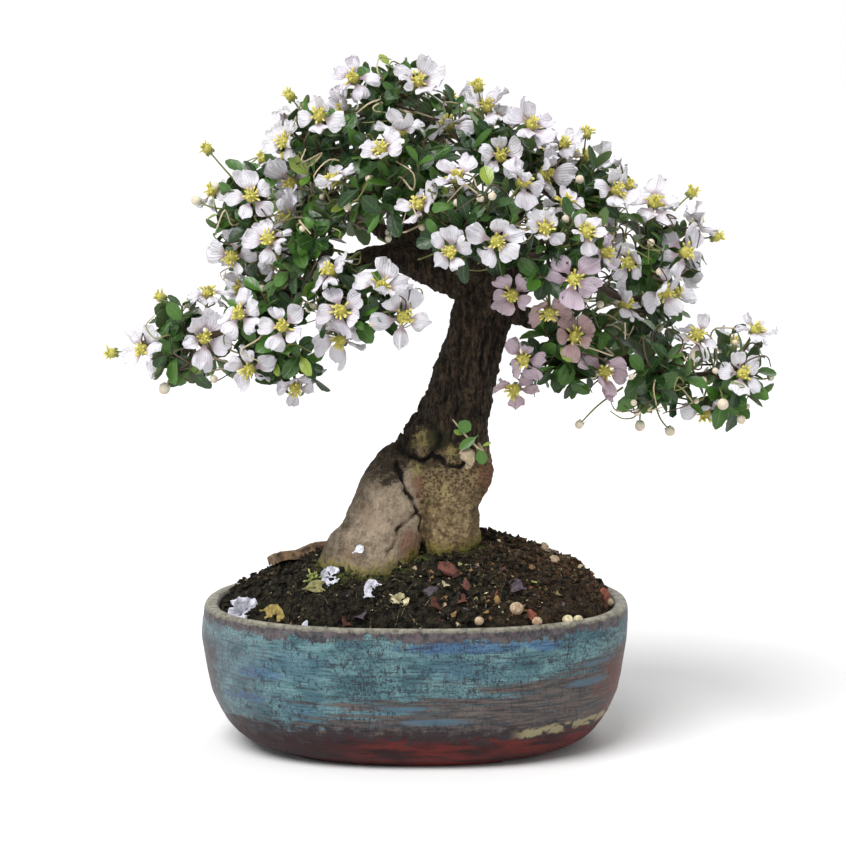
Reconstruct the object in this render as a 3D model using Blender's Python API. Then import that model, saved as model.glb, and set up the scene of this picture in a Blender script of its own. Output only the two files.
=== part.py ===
"""Miniature holly bonsai in its glazed oval pot, as separate closed bodies.

A leaning trunk with two swollen root lobes stands in a mound of soil.
Its limbs carry leaf sprays, and each spray carries white five-petalled blooms.
Lengths are metres, +Z is up and the front of the tree faces -Y.
The origin is the middle of the pot's flat underside.
"""
import math
import random
from collections import namedtuple

import bmesh
import bpy
from mathutils import Matrix, Vector, noise
from mathutils.bvhtree import BVHTree

Shape = namedtuple("Shape", "verts faces")
Pad = namedtuple("Pad", "name centre radii rosettes")

MM = 0.001
CLEAR = 0.3 * MM                 # gap between bodies that touch on the real tree
PROBE = 0.36 * MM                # how much a piece grows while its room is tested
FLAT_ANGLE = math.radians(0.2)   # faces that meet at less than this are one flat face

# Pot
RIM_HALF_WIDTH = 70.3 * MM
RIM_HALF_DEPTH = 47.0 * MM
PLAN_POWER = 2.4                 # superellipse power of the oval plan
POT_SIDES = 32
# height and half width of each ring, in millimetres
POT_OUTSIDE = ((0.0, 47.0), (1.2, 50.5), (4.0, 57.5), (9.0, 62.3), (15.0, 65.7),
               (22.0, 68.0), (35.0, 70.0), (45.6, 70.3), (47.5, 69.2))
POT_INSIDE = ((47.5, 66.6), (46.0, 65.4), (30.0, 64.8), (14.0, 61.0), (7.2, 53.0), (6.0, 48.0))
DRAIN_X = 33.0 * MM
DRAIN_RADIUS = 4.5 * MM
GROOVE_WIDTH = 10.0 * MM
GROOVE_DEPTH = 1.4 * MM

# Drain screens, which keep the soil in
SCREEN_SIZE = 14.0 * MM
SCREEN_THICKNESS = 0.8 * MM
SCREEN_BARS = 3
SCREEN_BAR_WIDTH = 1.3 * MM

# Soil
SOIL_EDGE = 45.3 * MM
SOIL_RISE = 24.0 * MM            # height of the mound over the soil's edge
SOIL_PEAK_X = 12.0 * MM
SOIL_RELIEF = 0.9 * MM
SOIL_SIDES = 28
SOIL_RINGS = (0.94, 0.78, 0.58, 0.38, 0.15)
PELLET_RADIUS = 2.0 * MM
PELLETS = ((31, -37), (37, -36), (47, -31), (52, -27), (19, -41), (59, -6), (-38, 28))
BARK_CHIP = (-40.0, 9.0)
BARK_CHIP_SIZE = (17.0 * MM, 9.0 * MM, 2.4 * MM)

# Trunk and root lobes: x, y, z and radius of each station, in millimetres
TRUNK = ((3, 4, 46, 16.5), (3, 4, 62, 16.8), (5.5, 3, 76, 15.6), (8.5, 2, 88, 16.2), (9.5, 1, 98, 15),
         (11.5, 0, 108, 12.7), (14.5, 0, 117, 10.6), (17, 0, 127, 9.6), (20, 0, 138, 9.3),
         (23, 0, 148, 9.6), (25.5, 1, 156, 8), (27, 2, 162, 5))
LEFT_LOBE = ((-16.5, -9, 48, 15), (-14.8, -11, 64, 16), (-10, -11, 77, 13.6), (-4.5, -8, 88, 11.6),
             (1.5, -4, 98, 9), (7, -1, 106, 5))
RIGHT_LOBE = ((9.5, -5, 50, 9.5), (9.5, -7.5, 63, 10.8), (10.5, -8.5, 76, 11.8), (12.5, -6.5, 88, 12),
              (12.5, -3, 98, 8.5))
KNOT = ((3, -3, 101, 4.6), (1.5, -14.6, 102, 3.8))
CUT_STUB = ((17, -4, 96.5, 3.2), (17, -17.4, 97, 2.6))
TRUNK_SIDES = 12
FLUTE_DEPTH = 0.055

# Limbs: x, y, z and radius of each station, in millimetres
LIMBS = {
    "left": ((23, 0, 151, 7), (13, -2, 157, 5.8), (3, -4, 160.5, 4.8), (-7, -6, 164, 3.9),
             (-21, -8, 161, 2.8), (-38, -8, 152, 2.2), (-52, -5, 144, 1.7)),
    "leader": ((-3, -4, 161.5, 3.4), (-1.5, 0, 173, 3), (-3, 3, 184, 2.4), (-7, 4, 197, 1.8)),
    "right_high": ((26, 1, 155, 5.4), (29.5, 4, 168, 3.9), (34, 5, 178, 2.6), (40, 4, 185, 1.8)),
    "right": ((27, 1, 151, 5), (41, 4, 154.5, 3.6), (54, 5, 160, 2.6), (62, 3, 165, 1.8)),
    "right_low": ((25, -1, 145, 4.2), (38, -3, 141, 3), (53, -4, 133, 2.3), (76, -3, 125, 1.7)),
    "back_left": ((20, 3, 152, 5), (6, 19, 161, 3.4), (-14, 29, 169, 2.4)),
    "back_right": ((27, 3, 151, 5), (36, 20, 160, 3.3), (43, 29, 167, 2.2)),
    "front": ((20, -4, 155, 4), (15, -17, 164, 2.8), (13, -26, 170, 2)),
}
LIMB_DETAIL = 1
BRANCH_SHARES = (0.25, 0.5, 0.75, 0.97)      # where on each stretch of a limb a branch may leave it
BRANCH_RADII = (1.7 * MM, 1.4 * MM, 1.1 * MM)
BRANCH_BOW = 0.12

# Crown pads: centre and radii in millimetres, and how many leaf rosettes each one tries to hold
PADS = (
    Pad("left_tip", (-75, -2, 135), (20, 17, 14), 4),
    Pad("left_low", (-44, -12, 140), (19, 18, 17), 3),
    Pad("left_front", (-16, -25, 149), (18, 14, 13), 3),
    Pad("left_high", (-51, 0, 177), (19, 20, 19), 4),
    Pad("left_mid", (-31, -18, 166), (16, 15, 13), 2),
    Pad("top_left", (-27, -5, 201), (21, 21, 19), 3),
    Pad("top", (-4, 4, 214), (19, 20, 15), 3),
    Pad("heart", (-4, -25, 187), (20, 17, 17), 3),
    Pad("top_right", (25, -2, 198), (21, 22, 17), 3),
    Pad("mid_front", (16, -40, 175), (19, 15, 15), 3),
    Pad("right_high", (53, 0, 187), (19, 20, 16), 4),
    Pad("right_front", (42, -30, 165), (21, 16, 16), 4),
    Pad("right", (76, -3, 169), (20, 19, 17), 4),
    Pad("right_low", (46, -14, 139), (19, 17, 14), 3),
    Pad("right_low_mid", (74, -8, 127), (20, 17, 14), 4),
    Pad("right_tip", (100, -1, 124), (17, 16, 15), 4),
    Pad("back_left", (-30, 34, 179), (22, 21, 18), 3),
    Pad("back_top", (9, 31, 200), (22, 20, 16), 3),
    Pad("back_right", (49, 33, 178), (22, 20, 17), 3),
    Pad("back_low", (8, 49, 166), (23, 17, 15), 3),
    Pad("back_right_low", (71, 29, 143), (20, 18, 14), 3),
    Pad("back_left_low", (-46, 26, 148), (20, 18, 14), 3),
)
FRONT_PADS = PADS[:16]           # the rest stand behind them
CORE_SHARE = 0.56                # size of a pad's woody core against the pad
CORE_DETAIL = 1
CORE_RELIEF = 0.1
CROWN_MIDDLE = Vector((8, 0, 160)) * MM

# Leaves stand in rosettes at the shoot tips, a little larger than life because they are fewer
LEAF_LENGTH = 15.8 * MM
LEAVES_IN_ROSETTE = 4           # two opposite pairs
BLADE_THICKNESS = 0.76 * MM      # upright thickness, so that a blade tilted by 35 degrees keeps 0.6 mm
# outline of a leaf between two gaps: share of the length along it and across it
LEAF_OUTLINE = ((0.6, -0.31), (0.95, -0.17), (0.95, 0.17), (0.6, 0.31))
LEAF_GAP = 2.1 * MM              # how far from the middle the gaps between leaves begin
LEAF_DROOP = (-34, 14)           # range of a leaf's tilt, in degrees
LEAF_TURN = 5                    # how far a leaf may stand off its place in the rosette, in degrees
LEAF_SIZES = (0.78, 1.12)        # range of a leaf's size against the leaf length
ROSETTE_SHARE = 0.8              # where a rosette's middle stands, against the pad's size
ROSETTE_TRIES = 120
ROSETTE_LEAN = Vector((0, -0.1, 0.3))
SHOOT_ROOT_SHARE = 0.3           # how deep in the core a shoot ends, against the pad's size

# Blooms
BLOOM_RADIUS = 9.2 * MM
PETALS = 5
BOSS_HEIGHT = 3.2 * MM
# outline of a petal from one side of its claw to the other: share of the length along it and across it
PETAL_OUTLINE = ((0.27, -0.07), (0.74, -0.4), (1.0, 0.0), (0.74, 0.4), (0.27, 0.07))
PETAL_TILT = (-14, 24)           # range of a petal's tilt, in degrees
PETAL_TURN = 4                   # how far a petal may stand off its place, in degrees
FRONT_LEAN = Vector((0, -0.25, 0.35))
BACK_LEAN = Vector((0, 0, 0.35))
BACK_HALF = 20 * MM              # blooms behind this lean only upwards
OFF_PAD_COST = 60 * MM           # how strongly a bloom's place is kept to a pad that covers it
FORK_RADIUS = 1.4 * MM           # swelling where the stalks of a group meet
FORK_REACH = 4.5 * MM            # how far outside the core a group's stalk forks
STALK_GAP = 0.45 * MM            # from the tip of a group's stalk to its pad's core
BLOOMS_IN_GROUP = 3
GROUP_REACH = 27 * MM
RAY_START = 20 * MM              # how far outside a bloom the search for its core begins
# blooms seen from the front: x and z in millimetres
FRONT_BLOOMS = ((-20, 222), (1, 225), (-10, 197), (-30, 211), (23, 214), (36, 209),
                (48, 202), (-52, 184), (-24, 187), (-45, 168), (-68, 148), (-55, 144), (-68, 136),
                (-42, 141), (-39, 122), (-26, 158), (-11, 154), (-5, 145), (11, 167), (24, 170),
                (32, 188), (40, 174), (52, 173), (63, 188), (76, 182), (68, 163), (31, 153),
                (50, 138), (66, 146), (35, 131), (33, 121), (92, 135), (110, 136))
BACK_BLOOMS = (("back_left", 150, 20), ("back_left", 200, -10), ("back_top", 170, 40),
               ("back_top", 215, 10), ("back_right", 160, 15), ("back_right", 120, 40),
               ("back_low", 185, -15), ("back_right_low", 150, 10), ("back_left_low", 205, 5),
               ("left_high", 250, 20), ("right", 100, 25))

# Buds and spent calyxes on long stalks: x, y, z of each tip in millimetres
BUD_TIPS = ((-99, -2, 130), (-67, -4, 199), (-71, -6, 180), (-82, -8, 119), (-84, 8, 147),
            (53, -14, 108), (73, -10, 107), (83, -8, 105), (99, -17, 115), (106, -10, 109),
            (89, -4, 186), (97, -3, 170), (58, -4, 207), (-38, -6, 222), (40, 62, 162), (-52, 52, 192))
BUD_RADIUS = 2.1 * MM
STALK_RADIUS = 0.55 * MM

# Sprout on the trunk: leaf tips as x, y, z in millimetres
SPROUT_ROOT = (20.5, -11.5, 101)
SPROUT_TIP = (18.5, -16.5, 104)
SPROUT_OUTWARD = Vector((0.25, -1, 0.1))
SPROUT_GAP = 0.5 * MM            # from the end of its stem to the room that is kept round the trunk
SPROUT_STEM_RADII = (0.8 * MM, 0.7 * MM, 0.6 * MM)
SPROUT_LEAVES = ((13, -18, 109), (24, -20, 100), (26, -17, 106))
SPROUT_LEAF_OUTLINE = ((0.0, 0.0), (0.5, -0.34), (0.9, -0.2), (0.9, 0.2), (0.5, 0.34))

MATERIALS = {
    "glazed_stoneware": ((0.16, 0.33, 0.38), 0.35),
    "bonsai_soil": ((0.045, 0.033, 0.025), 0.95),
    "bark": ((0.23, 0.18, 0.13), 0.9),
    "leaf_green": ((0.04, 0.16, 0.05), 0.4),
    "petal_white": ((0.86, 0.82, 0.88), 0.55),
    "screen_black": ((0.02, 0.02, 0.02), 0.6),
}


def millimetres(values):
    """A point or a row of lengths given in millimetres, in metres."""
    return Vector(values) * MM


def clear_scene():
    """Start from an empty file."""
    for item in list(bpy.data.objects):
        bpy.data.objects.remove(item, do_unlink=True)


def make_collection(name):
    """A new collection linked to the scene."""
    group = bpy.data.collections.new(name)
    bpy.context.scene.collection.children.link(group)
    return group


def make_material(name):
    """A Principled material of one colour and roughness."""
    colour, roughness = MATERIALS[name]
    material = bpy.data.materials.new(name)
    material.use_nodes = True
    shader = material.node_tree.nodes["Principled BSDF"]
    shader.inputs["Base Color"].default_value = (*colour, 1.0)
    shader.inputs["Roughness"].default_value = roughness
    shader.inputs["Metallic"].default_value = 0.0
    material.diffuse_color = (*colour, 1.0)
    return material


def shape_from_bmesh(bm):
    """Vertices and faces of a bmesh, which is freed."""
    bmesh.ops.recalc_face_normals(bm, faces=bm.faces)
    bm.verts.index_update()
    verts = [vert.co.copy() for vert in bm.verts]
    faces = [tuple(vert.index for vert in face.verts) for face in bm.faces]
    bm.free()
    return Shape(verts, faces)


def moved(shape, matrix):
    """The shape after a transform."""
    return Shape([matrix @ vert for vert in shape.verts], shape.faces)


def tree_of(shapes):
    """One search tree over all the shapes' faces."""
    verts, faces = [], []
    for shape in shapes:
        start = len(verts)
        verts += shape.verts
        faces += [tuple(start + index for index in face) for face in shape.faces]
    return BVHTree.FromPolygons(verts, faces)


def box_shape(size, centre):
    """A rectangular block."""
    bm = bmesh.new()
    bmesh.ops.create_cube(bm, size=1.0)
    bmesh.ops.scale(bm, vec=size, verts=bm.verts)
    bmesh.ops.translate(bm, vec=centre, verts=bm.verts)
    return shape_from_bmesh(bm)


def cylinder_shape(radius, height, centre, sides=12):
    """An upright cylinder."""
    bm = bmesh.new()
    bmesh.ops.create_cone(bm, cap_ends=True, segments=sides, radius1=radius, radius2=radius, depth=height)
    bmesh.ops.translate(bm, vec=centre, verts=bm.verts)
    return shape_from_bmesh(bm)


def ball_shape(radius, centre, detail=1):
    """A small faceted ball."""
    bm = bmesh.new()
    bmesh.ops.create_icosphere(bm, subdivisions=detail, radius=radius)
    bmesh.ops.translate(bm, vec=centre, verts=bm.verts)
    return shape_from_bmesh(bm)


def stem_shape(points, radii, detail=0):
    """A tapering stem: a bevelled curve, meshed, with its caps welded on."""
    curve = bpy.data.curves.new("stem", "CURVE")
    curve.dimensions = "3D"
    curve.bevel_depth = 1.0
    curve.bevel_resolution = detail
    curve.use_fill_caps = True
    spline = curve.splines.new("POLY")
    spline.points.add(len(points) - 1)
    for knot, place, radius in zip(spline.points, points, radii):
        knot.co = (*place, 1.0)
        knot.radius = radius
    holder = bpy.data.objects.new("stem", curve)
    bpy.context.scene.collection.objects.link(holder)
    graph = bpy.context.evaluated_depsgraph_get()
    mesh = bpy.data.meshes.new_from_object(holder.evaluated_get(graph))
    bm = bmesh.new()
    bm.from_mesh(mesh)
    bmesh.ops.remove_doubles(bm, verts=bm.verts, dist=0.001 * MM)
    bpy.data.objects.remove(holder)
    bpy.data.curves.remove(curve)
    bpy.data.meshes.remove(mesh)
    return shape_from_bmesh(bm)


def skin_rings(rings):
    """A closed body through rings of equal count, with a face over each end."""
    bm = bmesh.new()
    loops = [[bm.verts.new(point) for point in ring] for ring in rings]
    for low, high in zip(loops, loops[1:]):
        for i, vert in enumerate(low):
            j = (i + 1) % len(low)
            bm.faces.new((vert, low[j], high[j], high[i]))
    bm.faces.new(loops[0])
    bm.faces.new(loops[-1])
    bmesh.ops.triangulate(bm, faces=bm.faces)
    return shape_from_bmesh(bm)


def plate_shape(top, triangles, outline, thickness):
    """A thin blade: a top of triangles, the same triangles below it, and a wall round the outline."""
    count = len(top)
    below = [point - Vector((0, 0, thickness)) for point in top]
    faces = list(triangles)
    faces += [tuple(count + index for index in reversed(face)) for face in triangles]
    for here, following in zip(outline, outline[1:] + outline[:1]):
        faces.append((here, count + here, count + following))
        faces.append((here, count + following, following))
    return Shape(list(top) + below, faces)


def object_from(name, shape):
    """A mesh object of the shape."""
    mesh = bpy.data.meshes.new(name)
    mesh.from_pydata(shape.verts, [], shape.faces)
    mesh.update()
    return bpy.data.objects.new(name, mesh)


def largest_piece(bm):
    """Delete every loose scrap and sealed hollow, and leave the largest body."""
    unseen = set(bm.verts)
    pieces = []
    while unseen:
        front = [unseen.pop()]
        piece = set(front)
        while front:
            for edge in front.pop().link_edges:
                for vert in edge.verts:
                    if vert in unseen:
                        unseen.discard(vert)
                        piece.add(vert)
                        front.append(vert)
        pieces.append(piece)
    if len(pieces) > 1:
        keep = max(pieces, key=piece_volume)
        scraps = [vert for piece in pieces if piece is not keep for vert in piece]
        bmesh.ops.delete(bm, geom=scraps, context="VERTS")


def piece_volume(piece):
    """Volume closed in by the faces of a set of vertices."""
    faces = {face for vert in piece for face in vert.link_faces}
    total = 0.0
    for face in faces:
        first = face.verts[0].co
        for here, following in zip(face.verts[1:], face.verts[2:]):
            total += first.dot(here.co.cross(following.co)) / 6
    return total


def fuse(name, shapes, material, home, centre, cutters=()):
    """One node: the Boolean union of the shapes less the cutters, with its origin at the centre."""
    body = object_from(name, shapes[0])
    scene = bpy.context.scene.collection
    scene.objects.link(body)
    others = make_collection(name + "_pieces")
    for shape in shapes[1:]:
        others.objects.link(object_from(name + "_piece", shape))
    if shapes[1:]:
        union = body.modifiers.new("join", "BOOLEAN")
        union.operation = "UNION"
        union.solver = "EXACT"
        union.operand_type = "COLLECTION"
        union.collection = others
    for cutter in cutters:
        cut = body.modifiers.new("cut", "BOOLEAN")
        cut.operation = "DIFFERENCE"
        cut.solver = "EXACT"
        cut.object = cutter
    graph = bpy.context.evaluated_depsgraph_get()
    mesh = bpy.data.meshes.new_from_object(body.evaluated_get(graph))
    for piece in list(others.objects):
        bpy.data.objects.remove(piece)
    bpy.data.collections.remove(others)
    bpy.data.objects.remove(body)
    bm = bmesh.new()
    bm.from_mesh(mesh)
    bmesh.ops.remove_doubles(bm, verts=bm.verts, dist=0.001 * MM)
    bmesh.ops.dissolve_limit(bm, angle_limit=FLAT_ANGLE, verts=bm.verts, edges=bm.edges)
    bmesh.ops.triangulate(bm, faces=bm.faces)
    largest_piece(bm)
    bmesh.ops.translate(bm, vec=-centre, verts=bm.verts)
    bm.to_mesh(mesh)
    bm.free()
    mesh.name = name
    mesh.materials.clear()
    mesh.materials.append(material)
    node = bpy.data.objects.new(name, mesh)
    node.location = centre
    home.objects.link(node)
    return node


def cutter_from(name, shapes, home):
    """A hidden cutting body, the union of the shapes."""
    cutter = fuse(name, shapes, make_material("bark"), home, Vector((0, 0, 0)))
    cutter.hide_render = True
    cutter.display_type = "WIRE"
    return cutter


def oval(half_width, half_depth, height, count):
    """A ring of points on the pot's superellipse plan."""
    ring = []
    for i in range(count):
        turn = 2 * math.pi * i / count
        east, north = math.cos(turn), math.sin(turn)
        ring.append(Vector((half_width * math.copysign(abs(east) ** (2 / PLAN_POWER), east),
                            half_depth * math.copysign(abs(north) ** (2 / PLAN_POWER), north),
                            height)))
    return ring


def half_depth_at(half_width):
    """The pot's half depth where it has this half width: the depth draws in half as fast."""
    return RIM_HALF_DEPTH - 0.5 * (RIM_HALF_WIDTH - half_width)


def pot_ring(height, half_width, count=POT_SIDES, inset=0.0):
    """One ring of the pot, or of what lies that far inside it."""
    return oval(half_width - inset, half_depth_at(half_width) - inset, height, count)


def make_pot(home, cutters):
    """The glazed pot: a shell with a rounded lip, two drain holes and two vent grooves below."""
    rings = [pot_ring(height * MM, width * MM) for height, width in POT_OUTSIDE + POT_INSIDE]
    shell = skin_rings(rings)
    tall = 30 * MM
    depth = 2 * RIM_HALF_DEPTH
    tools = []
    for side in (-1, 1):
        tools.append(cylinder_shape(DRAIN_RADIUS, tall, (side * DRAIN_X, 0, 0)))
    tools.append(box_shape((GROOVE_WIDTH, depth, 2 * GROOVE_DEPTH), (DRAIN_X, 0, 0)))
    tools.append(box_shape((GROOVE_WIDTH, depth / 2, 2 * GROOVE_DEPTH), (-DRAIN_X, depth / 4, 0)))
    drains = [cutter_from("drain_cutter_%d" % i, [tool], cutters) for i, tool in enumerate(tools)]
    return fuse("pot", [shell], make_material("glazed_stoneware"), home, Vector((0, 0, 0)), drains)


def screen_base():
    """Height of the underside of the drain screens."""
    return POT_INSIDE[-1][0] * MM + CLEAR


def make_screens(home):
    """The two open-mesh drain screens on the pot's floor."""
    material = make_material("screen_black")
    middle = screen_base() + SCREEN_THICKNESS / 2
    step = (SCREEN_SIZE - SCREEN_BAR_WIDTH) / (SCREEN_BARS - 1)
    for side, name in ((-1, "drain_screen_left"), (1, "drain_screen_right")):
        bars = []
        for i in range(SCREEN_BARS):
            offset = -SCREEN_SIZE / 2 + SCREEN_BAR_WIDTH / 2 + i * step
            bars.append(box_shape((SCREEN_BAR_WIDTH, SCREEN_SIZE, SCREEN_THICKNESS),
                                  (side * DRAIN_X + offset, 0, middle)))
            bars.append(box_shape((SCREEN_SIZE, SCREEN_BAR_WIDTH, SCREEN_THICKNESS),
                                  (side * DRAIN_X, offset, middle)))
        fuse(name, bars, material, home, Vector((side * DRAIN_X, 0, middle)))


def soil_height(x, y):
    """Height of the soil's surface: a dome whose peak is right of the middle, with a crumbly relief."""
    half_width = POT_INSIDE[2][1] * MM
    reach = half_width - SOIL_PEAK_X if x > SOIL_PEAK_X else half_width + SOIL_PEAK_X
    across = abs(x - SOIL_PEAK_X) / reach
    along = abs(y) / half_depth_at(half_width)
    share = min(1.0, (across ** PLAN_POWER + along ** PLAN_POWER) ** (1 / PLAN_POWER))
    crumbs = noise.noise(Vector((x, y, 0)) / (7 * MM)) * SOIL_RELIEF
    return SOIL_EDGE + SOIL_RISE * (1 - share ** 2) ** 0.8 + crumbs * (1 - share ** 6)


def make_soil(home, trunk_cutter, cutters):
    """The mound of soil, with feed pellets and a chip of bark on it and a hole for the trunk."""
    inset = 2 * CLEAR
    rings = []
    for height, width in reversed(POT_INSIDE[2:]):
        rings.append(pot_ring(height * MM + 1.2 * CLEAR, width * MM, SOIL_SIDES, inset))
    rings.append(pot_ring(SOIL_EDGE, POT_INSIDE[1][1] * MM, SOIL_SIDES, inset))
    for share in SOIL_RINGS:
        plan = pot_ring(0, POT_INSIDE[2][1] * MM, SOIL_SIDES, inset)
        shift = Vector((SOIL_PEAK_X * (1 - share), 0, 0))
        ring = [point * share + shift for point in plan]
        rings.append([Vector((p.x, p.y, soil_height(p.x, p.y))) for p in ring])
    shapes = [skin_rings(rings)]
    for x, y in PELLETS:
        ground = soil_height(x * MM, y * MM)
        shapes.append(ball_shape(PELLET_RADIUS, (x * MM, y * MM, ground + 0.3 * PELLET_RADIUS)))
    chip_x, chip_y = BARK_CHIP[0] * MM, BARK_CHIP[1] * MM
    chip = box_shape(BARK_CHIP_SIZE, (0, 0, 0))
    tilt = Matrix.Rotation(math.radians(-12), 4, "Y") @ Matrix.Rotation(math.radians(20), 4, "Z")
    shapes.append(moved(chip, Matrix.Translation((chip_x, chip_y, soil_height(chip_x, chip_y))) @ tilt))
    room = SCREEN_SIZE + 2 * CLEAR
    top = screen_base() + SCREEN_THICKNESS + CLEAR
    holes = [trunk_cutter]
    for side in (-1, 1):
        recess = box_shape((room, room, 2 * top), (side * DRAIN_X, 0, 0))
        holes.append(cutter_from("screen_recess_%d" % side, [recess], cutters))
    return fuse("soil", shapes, make_material("bonsai_soil"), home, Vector((0, 0, SOIL_EDGE)), holes)


def fluted_stem(stations, sides, grow=0.0):
    """A body lofted through stations of x, y, z and radius, with shallow flutes along it."""
    centres = [millimetres(station[:3]) for station in stations]
    rings = []
    for i, centre in enumerate(centres):
        before, after = centres[max(i - 1, 0)], centres[min(i + 1, len(centres) - 1)]
        axis = (after - before).normalized()
        if i == 0:
            centre = centre - axis * grow
        if i == len(centres) - 1:
            centre = centre + axis * grow
        side = axis.cross(Vector((0, 1, 0))).normalized()
        front = side.cross(axis).normalized()
        ring = []
        for k in range(sides):
            turn = 2 * math.pi * k / sides
            flute = math.sin(3 * turn + centre.z * 30) + 0.7 * math.sin(5 * turn - centre.z * 55)
            radius = stations[i][3] * MM * (1 + FLUTE_DEPTH * flute) + grow
            ring.append(centre + (side * math.cos(turn) + front * math.sin(turn)) * radius)
        rings.append(ring)
    return skin_rings(rings)


def limb_shape(stations, grow=0.0):
    """A round limb through stations of x, y, z and radius."""
    points = [millimetres(station[:3]) for station in stations]
    radii = [station[3] * MM + grow for station in stations]
    points[0] = points[0] - (points[1] - points[0]).normalized() * grow
    points[-1] = points[-1] + (points[-1] - points[-2]).normalized() * grow
    return stem_shape(points, radii, LIMB_DETAIL)


def nearest_limb_point(target):
    """The point on a limb's inner stretch that lies closest to the target."""
    best = None
    for stations in LIMBS.values():
        points = [millimetres(station[:3]) for station in stations]
        for low, high in zip(points, points[1:]):
            for share in BRANCH_SHARES:
                point = low.lerp(high, share)
                if best is None or (point - target).length < (best - target).length:
                    best = point
    return best


def branch_shape(pad, grow=0.0):
    """The branch that carries a pad, from the nearest limb to the middle of the pad's core."""
    centre = millimetres(pad.centre)
    start = nearest_limb_point(centre)
    run = centre - start
    bow = Vector((0, 0, -BRANCH_BOW * run.length))
    points = [start, start + run * 0.5 + bow, centre + run.normalized() * grow]
    return stem_shape(points, [radius + grow for radius in BRANCH_RADII])


def trunk_shapes(grow=0.0):
    """Every wooden piece of the tree: trunk, root lobes, knot, cut stub, limbs and branches."""
    shapes = [fluted_stem(TRUNK, TRUNK_SIDES, grow),
              fluted_stem(LEFT_LOBE, TRUNK_SIDES - 2, grow),
              fluted_stem(RIGHT_LOBE, TRUNK_SIDES - 2, grow),
              limb_shape(KNOT, grow), limb_shape(CUT_STUB, grow)]
    shapes += [limb_shape(stations, grow) for stations in LIMBS.values()]
    shapes += [branch_shape(pad, grow) for pad in PADS]
    return shapes


def core_reach(pad, direction, grow=0.0):
    """A point on the surface of a pad's core, in a given direction from its middle."""
    centre = millimetres(pad.centre)
    bump = 1 + CORE_RELIEF * noise.noise(direction * 1.7 + centre / (25 * MM))
    radii = millimetres(pad.radii) * CORE_SHARE * bump
    return centre + Vector([(radius + grow) * part for radius, part in zip(radii, direction)])


def core_shape(pad, grow=0.0):
    """The knobbly core of packed twigs inside a pad."""
    bm = bmesh.new()
    bmesh.ops.create_icosphere(bm, subdivisions=CORE_DETAIL, radius=1.0)
    for vert in bm.verts:
        vert.co = core_reach(pad, vert.co.normalized(), grow)
    return shape_from_bmesh(bm)


def frame_matrix(origin, along, facing):
    """A frame at the origin whose Y runs along one direction and whose Z leans to another."""
    y_axis = along.normalized()
    x_axis = y_axis.cross(facing).normalized()
    z_axis = x_axis.cross(y_axis)
    turn = Matrix((x_axis, y_axis, z_axis)).transposed()
    return Matrix.Translation(origin) @ turn.to_4x4()


def rosette_shape(matrix, blades, rise, root, grow=0.0):
    """Blades round a middle point as one thin body, with a raised apex and a stalk down to its root.

    Each blade is a list of points of its outline, counter-clockwise.
    """
    top, triangles = [], []
    apex = sum(len(blade) for blade in blades)
    for number, blade in enumerate(blades):
        first = len(top)
        following = (first + len(blade)) % apex
        top += blade
        last = first + len(blade) - 1
        triangles += [(apex, first, last), (apex, last, following)]
        triangles += fan_across(list(range(first, last + 1)))
    top.append(Vector((0, 0, rise)))
    thickness = BLADE_THICKNESS + 2 * grow
    top = [point + Vector((0, 0, thickness / 2)) for point in top]
    plate = moved(plate_shape(top, triangles, list(range(apex)), thickness), matrix)
    plate.verts[-1] = root
    return plate


def fan_across(ring):
    """Triangles that join the two sides of a blade from its base to its tip."""
    triangles = []
    while len(ring) > 2:
        if len(ring) == 3:
            triangles.append(tuple(ring))
            break
        triangles += [(ring[0], ring[1], ring[-2]), (ring[0], ring[-2], ring[-1])]
        ring = ring[1:-1]
    return triangles


def blade_points(outline, length, turn, tilt, grow=0.0):
    """Outline points of one blade that leaves the middle at a turn and tilts up or down."""
    points = []
    for along, across in outline:
        reach = along * length + grow
        side = across * length + math.copysign(grow, across)
        point = Vector((reach * math.cos(tilt), side, reach * math.sin(tilt)))
        points.append(Matrix.Rotation(turn, 3, "Z") @ point)
    return points


def leaf_rosette(matrix, root, seed, grow=0.0):
    """A rosette of leaves of unlike length and droop, on a shoot that tapers to its root."""
    rng = random.Random(seed)
    blades = []
    for leaf in range(LEAVES_IN_ROSETTE):
        step = 2 * math.pi / LEAVES_IN_ROSETTE
        turn = step * leaf + math.radians(rng.uniform(-LEAF_TURN, LEAF_TURN))
        tilt = math.radians(rng.uniform(*LEAF_DROOP))
        blade = blade_points(LEAF_OUTLINE, LEAF_LENGTH * rng.uniform(*LEAF_SIZES), turn, tilt, grow)
        gap = Matrix.Rotation(step * (leaf - 0.5), 3, "Z") @ Vector((LEAF_GAP + grow, 0, 0))
        blades.append([gap] + blade)
    return rosette_shape(matrix, blades, BLADE_THICKNESS, root, grow)


def bloom_shape(matrix, root, seed, grow=0.0):
    """A bloom of five clawed petals round a raised boss, on a stalk that tapers to its root."""
    rng = random.Random(seed)
    blades = []
    for petal in range(PETALS):
        turn = 2 * math.pi * petal / PETALS + math.radians(rng.uniform(-PETAL_TURN, PETAL_TURN))
        tilt = math.radians(rng.uniform(*PETAL_TILT))
        blades.append(blade_points(PETAL_OUTLINE, BLOOM_RADIUS, turn, tilt, grow))
    return rosette_shape(matrix, blades, BOSS_HEIGHT, root, grow)


def fork_shape(fork, root, grow=0.0):
    """The spindle-shaped stalk of a group of blooms, swollen where their own stalks meet."""
    bm = bmesh.new()
    bmesh.ops.create_uvsphere(bm, u_segments=4, v_segments=2, radius=1.0)
    down = root - fork
    frame = frame_matrix(fork, down.orthogonal(), -down)
    for vert in bm.verts:
        level = vert.co.z
        height = level * (FORK_RADIUS * 1.5 if level > 0 else down.length)
        side = vert.co.xy * (FORK_RADIUS + grow)
        vert.co = frame @ Vector((side.x, side.y, height))
    return shape_from_bmesh(bm)


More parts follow.
